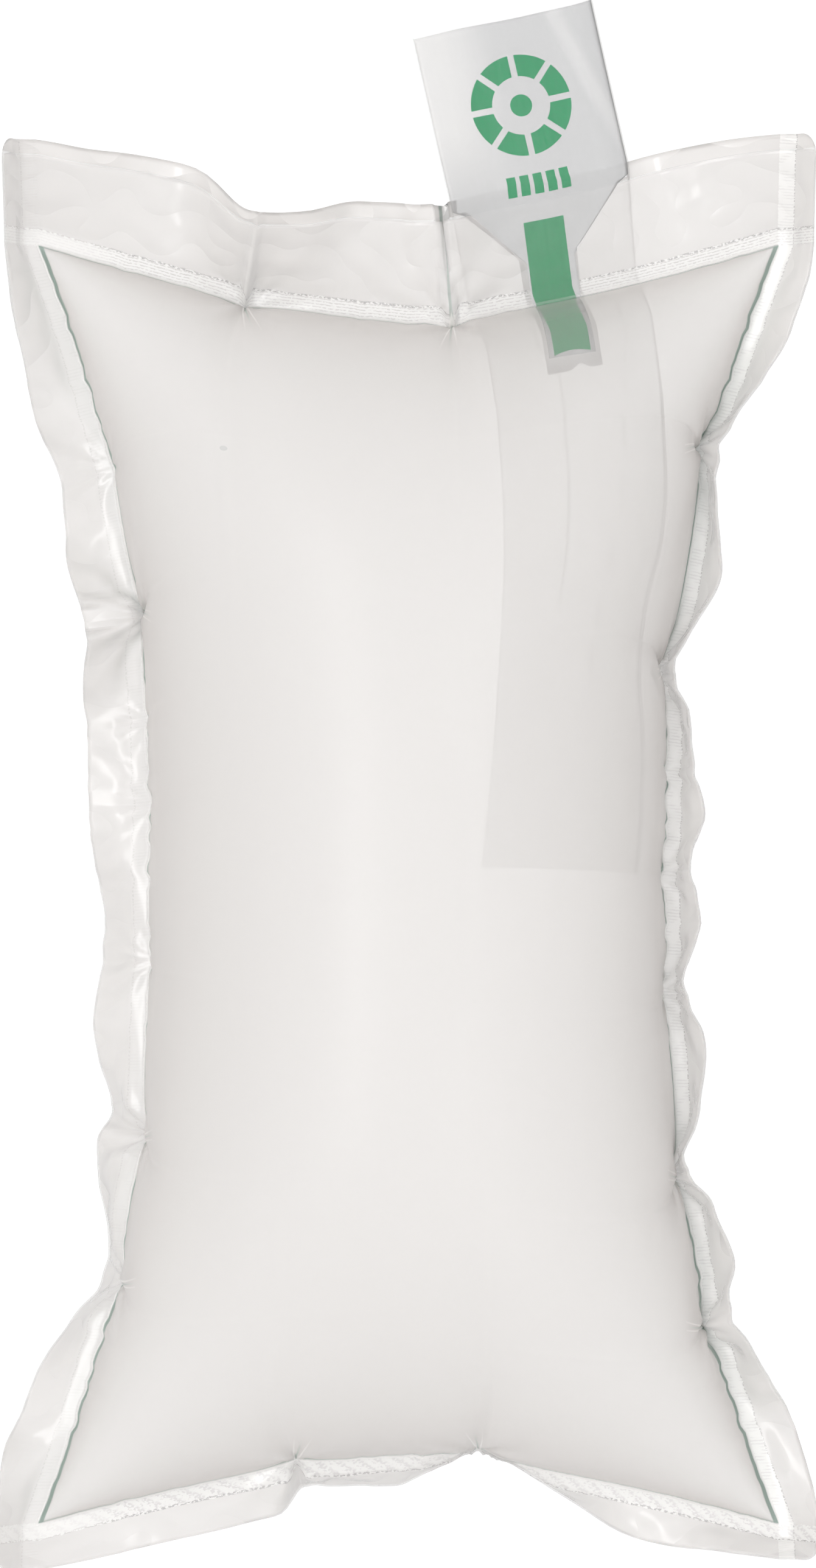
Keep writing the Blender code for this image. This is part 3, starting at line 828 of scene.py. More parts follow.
class Sketch:
    """A node tree, with the few nodes that the patterns here are made of."""

    def __init__(self, tree: bpy.types.NodeTree) -> None:
        """Keeps the tree's nodes and links."""
        self.nodes = tree.nodes
        self.links = tree.links

    def feed(self, socket: bpy.types.NodeSocket, value: Signal | Triple | float) -> None:
        """Gives a socket a signal, a plain colour or a plain number."""
        if isinstance(value, Signal):
            self.links.new(value.socket, socket)
        elif isinstance(value, tuple):
            socket.default_value = (*value, 1.0)
        else:
            socket.default_value = value

    def math(self, operation: str, *values: Signal | float) -> Signal:
        """A Math node of the given operation."""
        node = self.nodes.new("ShaderNodeMath")
        node.operation = operation
        for socket, value in zip(node.inputs, values):
            self.feed(socket, value)
        return Signal(self, node.outputs[0])

    def most(self, first: Signal, *others: Signal | float) -> Signal:
        """The greatest of several numbers."""
        for other in others:
            first = self.math("MAXIMUM", first, other)
        return first

    def least(self, first: Signal, *others: Signal | float) -> Signal:
        """The smallest of several numbers."""
        for other in others:
            first = self.math("MINIMUM", first, other)
        return first

    def ramp(self, value: Signal, low: float, high: float) -> Signal:
        """A smooth step from 0 to 1, by a Map Range node."""
        node = self.nodes.new("ShaderNodeMapRange")
        node.interpolation_type = "SMOOTHSTEP"
        self.feed(node.inputs["Value"], value)
        rising = low < high
        node.inputs["From Min"].default_value = low if rising else high
        node.inputs["From Max"].default_value = high if rising else low
        node.inputs["To Min"].default_value = 0.0 if rising else 1.0
        node.inputs["To Max"].default_value = 1.0 if rising else 0.0
        return Signal(self, node.outputs["Result"])

    def parts(self, vector: bpy.types.NodeSocket) -> tuple[Signal, Signal, Signal]:
        """A vector's three numbers."""
        node = self.nodes.new("ShaderNodeSeparateXYZ")
        self.links.new(vector, node.inputs[0])
        x, y, z = (Signal(self, socket) for socket in node.outputs)
        return x, y, z

    def attribute(self, name: str) -> Signal:
        """A number that the mesh holds at each vertex."""
        node = self.nodes.new("ShaderNodeAttribute")
        node.attribute_name = name
        return Signal(self, node.outputs["Fac"])

    def noise(self, x: Signal, y: Signal, cells: Pair, detail: float = 1.0) -> Signal:
        """Noise over two coordinates, from 0 to 1, with cells of the given size in metres."""
        place = self.nodes.new("ShaderNodeCombineXYZ")
        self.feed(place.inputs["X"], x / cells[0])
        self.feed(place.inputs["Y"], y / cells[1])
        node = self.nodes.new("ShaderNodeTexNoise")
        node.noise_dimensions = "2D"
        node.inputs["Scale"].default_value = 1.0
        node.inputs["Detail"].default_value = detail
        self.links.new(place.outputs[0], node.inputs["Vector"])
        return Signal(self, node.outputs["Fac"])

    def blend(self, share: Signal, first: Signal | Triple, second: Triple) -> Signal:
        """The colour between two, first where the share is 0. The first may be an earlier blend."""
        node = self.nodes.new("ShaderNodeMix")
        node.data_type = "RGBA"
        below, above = (socket for socket in node.inputs if socket.type == "RGBA")
        self.feed(node.inputs["Factor"], share)
        self.feed(below, first)
        self.feed(above, second)
        return Signal(self, next(socket for socket in node.outputs if socket.type == "RGBA"))


class Finish(Sketch):
    """The node tree of a material with one Principled shader."""

    def __init__(self, name: str) -> None:
        """Starts the material."""
        self.material = bpy.data.materials.new(name)
        self.material.use_nodes = True
        super().__init__(self.material.node_tree)
        self.shader = self.nodes["Principled BSDF"]

    def give(self, name: str, value: Signal | Triple | float) -> None:
        """Gives one of the shader's inputs a value."""
        self.feed(self.shader.inputs[name], value)

    def flat(self) -> tuple[Signal, Signal]:
        """The film's flat coordinates in metres, from the piece's UV map."""
        uv = self.nodes.new("ShaderNodeUVMap")
        uv.uv_map = UV_MAP
        u, v, _ = self.parts(uv.outputs["UV"])
        return u, v

    def relief(self, height: Signal) -> None:
        """Bumps the surface by a height, given in millimetres."""
        node = self.nodes.new("ShaderNodeBump")
        node.inputs["Strength"].default_value = 1.0
        node.inputs["Distance"].default_value = MILLIMETRE
        self.feed(node.inputs["Height"], height)
        self.links.new(node.outputs["Normal"], self.shader.inputs["Normal"])


@dataclass(frozen=True)
class FilmFinish:
    """What all the films share: a clear plastic with a little milk in it.

    opacity is the share of light that one film stops, met squarely. Its outer face stops all of that, and its
    inner face lets everything through. least_slant is the least cosine that still makes it milkier.
    """

    colour: Triple = (0.78, 0.745, 0.72)
    opacity: float = 0.25
    roughness: float = 0.30
    gloss: float = 0.55
    least_slant: float = 0.20

    def start(self, name: str) -> Finish:
        """A material with the film's plain values set on its shader."""
        sketch = Finish(name)
        sketch.give("Base Color", self.colour)
        sketch.give("Roughness", self.roughness)
        sketch.give("Specular IOR Level", self.gloss)
        return sketch

    def see_through(
        self,
        sketch: Finish,
        opacity: Signal | float,
        ink: Signal | None = None,
        least: Signal | None = None,
    ) -> None:
        """Sets the shader's alpha.

        A film is clearest square on and milkier at a slant, as glass is, because light runs further in it. A
        slant whose cosine is c lets through the square-on share to the power 1 / c, down to a least cosine.

        Args:
            sketch: The material.
            opacity: The film's opacity, met squarely.
            ink: How much the ink on it stops besides.
            least: The least cosine, where it isn't least_slant everywhere.
        """
        glass = sketch.nodes.new("ShaderNodeLayerWeight")
        glass.inputs["Blend"].default_value = 0.5
        bound = self.least_slant if least is None else least
        cosine = sketch.most(1.0 - Signal(sketch, glass.outputs["Facing"]), bound)
        through = sketch.math("POWER", 1.0 - opacity, 1.0 / cosine)
        if ink is not None:
            through = through * (1.0 - ink)
        sketch.give("Alpha", 1.0 - through)

    def inner_face(self, name: str) -> bpy.types.Material:
        """The clear material of a film's inner face."""
        sketch = self.start(name)
        sketch.give("Alpha", 0.0)
        return sketch.material


@dataclass(frozen=True)
class SleevePlace:
    """Where the inlet sleeve crosses the top weld, in the panels' flat coordinates.

    middle is U of its middle line at the weld, weld is V of the weld's inner edge, and lean is how far the
    line moves towards -U for each metre out. half is half the sleeve's width at the film's edge. tongue is
    half the width of the liner's tongue, and reach how far it goes into the chamber. funnel holds the two
    ends of the liner's slanting edge: the distance out and half the width.
    """

    middle: float
    weld: float
    lean: float
    half: float
    tongue: float
    reach: float
    funnel: Knots


class PanelPlace:
    """Where a point of a panel lies: its flat coordinates u and v, and its distances outside the welds.

    side and end are the distances outside the side welds and the end welds. right and top are 1 on those
    halves of the bag. grain is a fine noise, and rough the same noise as a small length that frays an edge.
    """

    def __init__(self, sketch: Finish, form: BagForm, grain: Pair, fray: float) -> None:
        """Adds the nodes that work these out, with a grain of the given cells that frays by a length."""
        self.u, self.v = sketch.flat()
        self.side = abs(self.u) - form.width / 2
        self.end = abs(self.v) - form.length / 2
        self.right = self.u.over(0.0, MIDDLE)
        self.top = self.v.over(0.0, MIDDLE)
        self.grain = sketch.noise(self.u, self.v, grain)
        self.rough = (self.grain - 0.5) * fray


@dataclass(frozen=True)
class PressedPattern:
    """What the sealing jaws press into the welds, as grooves whose dark colour is painted shade.

    The side strips hold patches of ribs, the top one rows along it and the bottom one slanting grains. A
    broken rim runs along each strip's outer edge. All of it is fainter towards the left weld.
    """

    rib_pitch: float = 0.0011
    rib_slant: float = 0.1
    rib_share: float = 0.30
    patches: Pair = (0.0045, 0.0030)
    row_pitch: float = 0.00093
    row_share: float = 0.6
    grain_pitch: float = 0.0042
    grain_slant: float = 0.6
    grain_share: float = 0.45
    rim: float = 0.00022
    side_rim_share: float = 0.8
    left_fade: Pair = (-0.12, -0.10)
    left_fade_share: float = 0.4

    def grooves(
        self,
        sketch: Finish,
        at: PanelPlace,
        seal: float,
        side_strip: Signal,
        end_strip: Signal,
        bonded: Signal,
    ) -> Signal:
        """Where the grooves are.

        Args:
            sketch: The material.
            at: The point's place.
            seal: The strips' width.
            side_strip: Where the side strips are.
            end_strip: Where the end strips are.
            bonded: 0 where the liner keeps the weld from bonding, and 1 elsewhere.

        Returns:
            The grooves' depth, from 0 to 1.
        """
        patchy = sketch.noise(at.u, at.v, self.patches, 0.0).ramp(0.35, 0.65)
        ribs = (at.v + at.side * self.rib_slant + at.rough * 0.3).wave(self.rib_pitch).ramp(-0.2, 0.9)
        rows = (at.end + at.rough * 0.45).wave(self.row_pitch).ramp(-0.3, 0.9) * at.grain.ramp(0.28, 0.55)
        grains = (at.u * self.grain_slant + at.v + at.rough * 2.0).wave(self.grain_pitch)
        grains = (grains * 0.35 + at.grain * 2.4 - 1.0).ramp(0.1, 0.7)
        pressed = at.top * rows * self.row_share + (1.0 - at.top) * grains * self.grain_share
        side_rim = at.side.line(seal, self.rim) * self.side_rim_share
        end_rim = (at.end + at.rough * 0.5).line(seal, 1.5 * self.rim) * bonded
        rim = sketch.most(side_rim, end_rim) * at.grain.ramp(0.45, 0.55)
        total = sketch.most(side_strip * ribs * patchy * self.rib_share, end_strip * pressed, rim)
        # Fainter towards the left weld.
        return total * at.u.ramp(*self.left_fade).between(self.left_fade_share, 1.0)


@dataclass(frozen=True)
class PanelFinish(FilmFinish):
    """The panels' film. The chamber's wall is milkier at a slant, and the skirts are so only down to a cosine
    of skirt_slant.

    Along each weld the two films are one: a pale strip pressed with fine grooves, whose dark colour is
    painted shade. It ends inwards in a bright line of painted highlight, with a line of painted shade behind
    it where the chamber's wall drops away. Lines of painted shade and painted highlight run in from the
    pinched puckers.

    The strips show the seal's colour by 1 at the right, by left_share at the left and by end_share at the
    ends.
    single_share is what the back panel stops besides where it lies alone. contact is how much clearer the
    film is over the liner, and contact_inside the part of that in the chamber. A star is how far its lines
    run in and how much they spread. The shifts move the painted highlight line and the painted shade line of
    the right weld outwards. The margins bound the chamber's plain middle.
    """

    skirt_opacity: float = 0.40
    chamber_opacity: float = 0.38
    single_share: float = 0.30
    skirt_slant: float = 0.75
    seal_share: float = 0.02
    end_share: float = 0.7
    left_share: float = 0.03
    # The pale colour of the weld strips, and of the painted highlight lines along the welds and beside the
    # pucker creases.
    seal_and_highlight_colour: Triple = (0.98, 0.955, 0.93)
    # The grooves' colour: painted shade in the pressed pattern.
    groove_shade_colour: Triple = (0.42, 0.40, 0.39)
    # Colour of the painted shade along the welds and in the pucker creases, and of the real speck in the
    # chamber.
    shade_and_speck_colour: Triple = (0.30, 0.39, 0.34)
    pattern: PressedPattern = PressedPattern()
    grain: Pair = (0.0012, 0.0007)
    fray: float = 0.0013
    # The bright line of painted highlight along each weld's inner edge: its half width, shift, colour share
    # and opacity.
    weld_highlight: float = 0.00035
    weld_highlight_shift: float = 0.00045
    weld_highlight_share: float = 0.8
    weld_highlight_opacity: float = 0.12
    # The line of painted shade inside the side and end welds: its bounds, share, shift and opacity.
    side_shade: Pair = (-0.0018, 0.00012)
    end_shade: Pair = (-0.0005, 0.0001)
    end_shade_share: float = 0.6
    shade_shift: float = 0.00035
    shade_opacity: float = 0.28
    groove_opacity: float = 0.06
    fold_cells: Pair = (0.017, 0.013)
    fold_rise: Pair = (0.004, 0.012)
    fold_height: float = 3.6
    skirt_roughness: float = 0.15
    skirt_gloss: float = 1.1
    contact: float = 0.85
    contact_inside: float = 0.68
    contact_soft: float = 0.0005
    contact_tongue: float = 0.92
    shoulder: Pair = (0.0008, 0.005)
    # The pucker lines of painted shade and painted highlight: width, softness, gap, bend, colour share and
    # opacity.
    star_line: float = 0.00018
    star_soft: float = 0.0002
    star_gap: float = 0.0005
    star_bend: float = 1.9
    star_share: float = 0.8
    star_opacity: float = 0.2
    side_star: Pair = (0.034, 0.04)
    end_star: Pair = (0.022, 0.12)
    pleat_from: float = 0.002
    speck: Pair = (-0.0586, 0.1395)
    speck_size: Pair = (0.0016, 0.0011)
    speck_share: float = 0.35
    side_margin: float = 0.025
    end_margin: float = 0.037

    def middle(self, name: str) -> bpy.types.Material:
        """Makes the plain material of the chamber's middle, with one small dark speck in it."""
        sketch = self.start(name)
        u, v = sketch.flat()
        across, along = (u - self.speck[0]) / self.speck_size[0], (v - self.speck[1]) / self.speck_size[1]
        speck = (across * across + along * along).ramp(1.2, 0.5)
        sketch.give("Base Color", sketch.blend(speck * self.speck_share, self.colour, self.shade_and_speck_colour))
        self.see_through(sketch, self.chamber_opacity)
        return sketch.material

    def on_liner(self, sketch: Finish, at: PanelPlace, sleeve: SleevePlace) -> Signal:
        """Where a panel lies close over the printed liner. It looks clearer there, because no air parts them.
        The liner is narrow in the chamber and near the weld, then widens evenly up to the sleeve's width."""
        out = at.v - sleeve.weld
        beside = abs(at.u - sleeve.middle + out * sleeve.lean)
        (narrow_at, narrow), (wide_at, wide) = sleeve.funnel
        half = (out - narrow_at) * ((wide - narrow) / (wide_at - narrow_at)) + narrow
        half = half + out.ramp(wide_at, wide_at + self.shoulder[0]) * self.shoulder[1]
        half = sketch.least(sketch.most(half, sleeve.tongue), sleeve.half)
        soft, tongue = self.contact_soft, sleeve.tongue * self.contact_tongue
        outside = (half - beside).ramp(0.0, soft) * out.over(0.0, soft)
        inside = beside.ramp(tongue, tongue - soft) * out.under(0.0, soft)
        inside = inside * out.ramp(-sleeve.reach, soft - sleeve.reach)
        return sketch.most(outside, inside * self.contact_inside)

    def painted_star_lines(self, sketch: Finish, at: PanelPlace, form: BagForm) -> tuple[Signal, Signal]:
        """The painted lines of the pinched puckers: painted shade along a crease in from each tip, and
        painted highlight on the folds beside it, as a V. From the top weld's last tip a pleat runs out across
        the skirt too.

        Args:
            sketch: The material.
            at: The point's place.
            form: The bag, for its welds.

        Returns:
            Where the lines of painted shade are, and where those of painted highlight are.
        """
        dark, light = [], []
        for weld in (form.left, form.right, form.bottom, form.top):
            level = weld.side.runs_along
            across, along = (at.u, at.v) if level else (at.v, at.u)
            reach, spread = self.side_star if level else self.end_star
            sign = 1.0 if weld.side in (Side.RIGHT, Side.TOP) else -1.0
            inward = across * -sign + (form.width if level else form.length) / 2
            inside = sketch.most(inward, 0.0)
            away = []
            for place in (pucker.place for pucker in weld.puckers if pucker.pinch):
                bend = self.star_bend * (math.sin(math.pi / 2 * place) - place)
                away.append(abs(along - place * weld.half + inside * bend))
            nearest = sketch.least(*away)
            shown = inward.ramp(reach, 0.0) * inward.over(0.0, self.star_soft)
            if weld.side is Side.TOP:
                shown = sketch.most(shown, inward.ramp(0.0, -self.pleat_from) * along.over(0.0, MIDDLE))
            beside = abs(nearest - self.star_gap - inward * spread)
            # dark: painted shade along the crease; light: painted highlight on the folds beside it.
            for lines, far in ((dark, nearest), (light, beside)):
                lines.append(far.ramp(self.star_line + self.star_soft, self.star_line) * shown)
        return sketch.most(*dark), sketch.most(*light)

    def border(self, name: str, form: BagForm, sleeve: SleevePlace) -> bpy.types.Material:
        """Makes the material of the skirts, the welds and the chamber's edge.

        Args:
            name: Its name.
            form: The bag, for its weld lines.
            sleeve: Where the inlet sleeve crosses the top weld. No weld bonds over the liner's tongue, so
                the strip has no pattern there.

        Returns:
            The material.
        """
        sketch = self.start(name)
        at = PanelPlace(sketch, form, self.grain, self.fray)
        in_side, in_end = at.side.under(0.0), at.end.under(0.0)
        chamber = in_side * in_end
        out = sketch.most(at.side, at.end)
        bonded = 1.0 - abs(at.u - sleeve.middle).under(sleeve.tongue, MILLIMETRE) * at.top
        side_strip = (at.side + at.rough * 0.3).window(0.0, form.seal)
        end_strip = (at.end + at.rough).window(0.0, form.seal) * bonded
        # Painted highlight: a bright line along each weld's inner edge, where the film turns up.
        weld_highlight = (out + at.rough * 0.2 - at.right * self.weld_highlight_shift).line(0.9 * self.weld_highlight, self.weld_highlight)
        # Painted shade: a dark line just inside each weld, where the chamber's wall drops away.
        side_shade = (at.side - at.right * self.shade_shift).window(*self.side_shade) * in_end
        shade = sketch.most(side_shade, at.end.window(*self.end_shade) * in_side * self.end_shade_share)
        # The pressed grooves are real; their dark colour is painted shade.
        grooves = self.pattern.grooves(sketch, at, form.seal, side_strip, end_strip, bonded) * (1.0 - weld_highlight)
        # Lines of painted shade and painted highlight at the pinched puckers.
        dark, light = self.painted_star_lines(sketch, at, form)
        strips = side_strip * at.right.between(self.left_share, 1.0)
        # The strips' own pale colour, with the painted highlight line along each weld's inner edge.
        strips = sketch.most(strips, end_strip * self.end_share, weld_highlight * self.weld_highlight_share)
        colour = sketch.blend(strips, self.colour, self.seal_and_highlight_colour)
        # Painted shade in the pressed grooves.
        colour = sketch.blend(grooves, colour, self.groove_shade_colour)
        # Painted shade along the welds and in the pucker creases.
        colour = sketch.blend(sketch.most(shade, dark * self.star_share), colour, self.shade_and_speck_colour)
        # Painted highlight on the folds beside the pucker creases.
        sketch.give("Base Color", sketch.blend(light * self.star_share, colour, self.seal_and_highlight_colour))
        opacity = chamber.between(self.skirt_opacity, self.chamber_opacity)
        opacity = opacity + at.v.over(form.single_from) * self.single_share
        opacity = opacity * (1.0 - self.on_liner(sketch, at, sleeve) * self.contact)
        opacity = opacity + strips * self.seal_share + weld_highlight * self.weld_highlight_opacity + shade * self.shade_opacity
        opacity = opacity + grooves * self.groove_opacity + (dark + light) * self.star_opacity
        self.see_through(sketch, opacity, least=chamber.between(self.skirt_slant, self.least_slant))
        sketch.give("Roughness", chamber.between(self.skirt_roughness, self.roughness))
        sketch.give("Specular IOR Level", chamber.between(self.skirt_gloss, self.gloss))
        fold = abs(sketch.noise(at.u, at.v, self.fold_cells, 0.0) - 0.5) * self.fold_height
        sketch.relief(fold * out.ramp(*self.fold_rise))
        return sketch.material


@dataclass(frozen=True)
class SleeveFinish(FilmFinish):
    """The inlet sleeve's film: clearer, with faint lines along its cut edges and its channel welds. Each line
    is whole up to its first distance and gone at its second."""

    colour: Triple = (0.46, 0.45, 0.44)
    opacity: float = 0.07
    edge_opacity: float = 0.07
    edge_line: Pair = (0.0003, 0.0008)
    weld_opacity: float = 0.09
    weld_line: Pair = (0.0003, 0.0007)

    def make(self, name: str, half_width: float) -> bpy.types.Material:
        """Makes the material for a sleeve of the given half width."""
        sketch = self.start(name)
        across = abs(sketch.flat()[0])
        edge = across.ramp(half_width - self.edge_line[1], half_width - self.edge_line[0])
        weld = sketch.attribute(CHANNEL).ramp(self.weld_line[1], self.weld_line[0])
        self.see_through(sketch, edge * self.edge_opacity + weld * self.weld_opacity + self.opacity)
        return sketch.material


@dataclass(frozen=True)
class LinerFinish(FilmFinish):
    """The liner's film with its print: fields of green ink, worked out from the flat coordinates.

    The mark is a ring of plain blocks round a plain disc, over a row of short plain bars. mark and bars are
    their distances out from the top weld, and bar_ends those of the long bar's two ends. The long bar's inner
    end is bowed by bar_arc. A band of painted sheen and a slanting painted glint lie on the tab. The tongue
    ends at tail, with a small nick in it and a slant.
    """

    colour: Triple = (0.36, 0.36, 0.365)
    opacity: float = 0.52
    ink: Triple = (0.0, 0.30, 0.11)
    ink_alpha: float = 0.97
    ink_fade: float = 0.06
    ink_cells: Pair = (0.0012, 0.0012)
    # Painted sheen and painted glint on the tab: their colour, the sheen's band at the tab's left, and the
    # glint's line and share.
    painted_sheen_colour: Triple = (0.74, 0.72, 0.71)
    painted_sheen_band: Pair = (0.002, 0.024)
    painted_glint: float = 0.0420
    glint_way: Pair = (0.96, 0.28)
    glint_size: Pair = (0.0003, 0.0040)
    painted_glint_share: float = 0.4
    mark: float = 0.0662
    ring: Pair = (0.0095, 0.0165)
    blocks: int = 8
    block_gap: float = 0.0010
    disc: float = 0.0036
    bars: float = 0.0403
    bar_pitch: float = 0.0044
    bar_size: Pair = (0.0014, 0.0034)
    bar_count: int = 5
    long_bar: float = 0.00655
    bar_ends: Pair = (-0.0365, 0.0281)
    bar_arc: float = 0.0016
    tail: float = 0.0440
    tail_nick: Triple = (0.0020, 0.0040, 0.0024)
    tail_slant: float = 0.05
    tail_soft: float = 0.0001
    wrinkle_cells: Pair = (0.0030, 0.020)
    wrinkle_height: float = 0.2

    def fields(self, sketch: Finish, u: Signal, v: Signal) -> Signal:
        """Where the ink is: 1 on it and 0 off it.

        The ring is the window of the radius, cut by 8 straight gaps: along each the sine of the blocks'
        angle times the radius is small.
        """
        x, y = u, v - self.mark
        radius = sketch.math("SQRT", x * x + y * y)
        turn = sketch.math("ARCTAN2", y, x) * (self.blocks / 2)
        gap = abs(sketch.math("SINE", turn)) * radius / (self.blocks / 2)
        ring = radius.window(*self.ring) * gap.over(self.block_gap)
        half_row = self.bar_count * self.bar_pitch / 2
        row = sketch.math("PINGPONG", u + half_row, self.bar_pitch / 2).over(self.bar_size[0] / 2)
        row = row * abs(u).under(half_row) * abs(v - self.bars).under(self.bar_size[1])
        across = u / self.long_bar
        arc = (1.0 - across * across) * self.bar_arc * v.ramp(0.0, -0.02)
        long_bar = abs(u).under(self.long_bar) * (v - arc).window(*self.bar_ends)
        return sketch.most(ring, radius.under(self.disc), row, long_bar)

    def make(self, name: str) -> bpy.types.Material:
        """Makes the material."""
        sketch = self.start(name)
        u, v = sketch.flat()
        ink = self.fields(sketch, u, v)
        on_tab = v.ramp(self.bar_ends[1], self.mark)
        # Painted sheen: a lighter band along the tab's left side.
        light = (0.0 - u).ramp(*self.painted_sheen_band) * on_tab
        # Painted glint: a slanting highlight near the tab's right edge.
        painted_glint = (u * self.glint_way[0] + v * self.glint_way[1]).line(self.painted_glint, *self.glint_size) * on_tab
        colour = sketch.blend(sketch.most(light, painted_glint * self.painted_glint_share), self.colour, self.painted_sheen_colour)
        sketch.give("Base Color", sketch.blend(ink, colour, self.ink))
        nick_at, nick_half, nick = self.tail_nick
        whole = v + self.tail - u.line(nick_at, 0.0, nick_half) * nick - u * self.tail_slant
        whole = whole.over(0.0, self.tail_soft)
        patchy = sketch.noise(u, v, self.ink_cells).ramp(0.2, 0.8)
        stops = patchy.between(self.ink_alpha - self.ink_fade, self.ink_alpha)
        self.see_through(sketch, whole * self.opacity, ink * stops)
        sketch.relief(sketch.noise(u, v, self.wrinkle_cells) * self.wrinkle_height)
        return sketch.material


def film_object(
    name: str,
    points: Array,
    flat: tuple[Array, Array],
    thickness: float,
    outward_up: bool,
    materials: tuple[bpy.types.Material, ...],
) -> bpy.types.Object:
    """A grid of film as a mesh, with its flat coordinates as its UV map and Solidify for its thickness.

    Args:
        name: The piece's name.
        points: Rows by columns of points.
        flat: The flat coordinates of each point.
        thickness: The film's thickness.
        outward_up: Whether the film's outer side is its upper one.
        materials: The materials of its outer and inner face, one pair for each kind of cell. The cells start
            with the first pair.

    Returns:
        The object, linked to the scene.
    """
    rows, columns = points.shape[:2]
    index = np.arange(rows * columns).reshape(rows, columns)
    quads = np.stack([index[:-1, :-1], index[:-1, 1:], index[1:, 1:], index[1:, :-1]], axis=-1).reshape(-1, 4)
    if not outward_up:
        quads = quads[:, ::-1]
    mesh = bpy.data.meshes.new(name)
    mesh.from_pydata(points.reshape(-1, 3), [], quads)
    uv = mesh.uv_layers.new(name=UV_MAP)
    corners = np.stack([flat[0].ravel(), flat[1].ravel()], axis=-1)[quads.ravel()]
    uv.data.foreach_set("uv", corners.astype(np.float32).ravel())
    mesh.shade_smooth()
    for material in materials:
        mesh.materials.append(material)
    film = bpy.data.objects.new(name, mesh)
    bpy.context.scene.collection.objects.link(film)
    wall = film.modifiers.new("film", "SOLIDIFY")
    wall.thickness = thickness
    wall.offset = 1.0
    wall.material_offset = 1
    return film


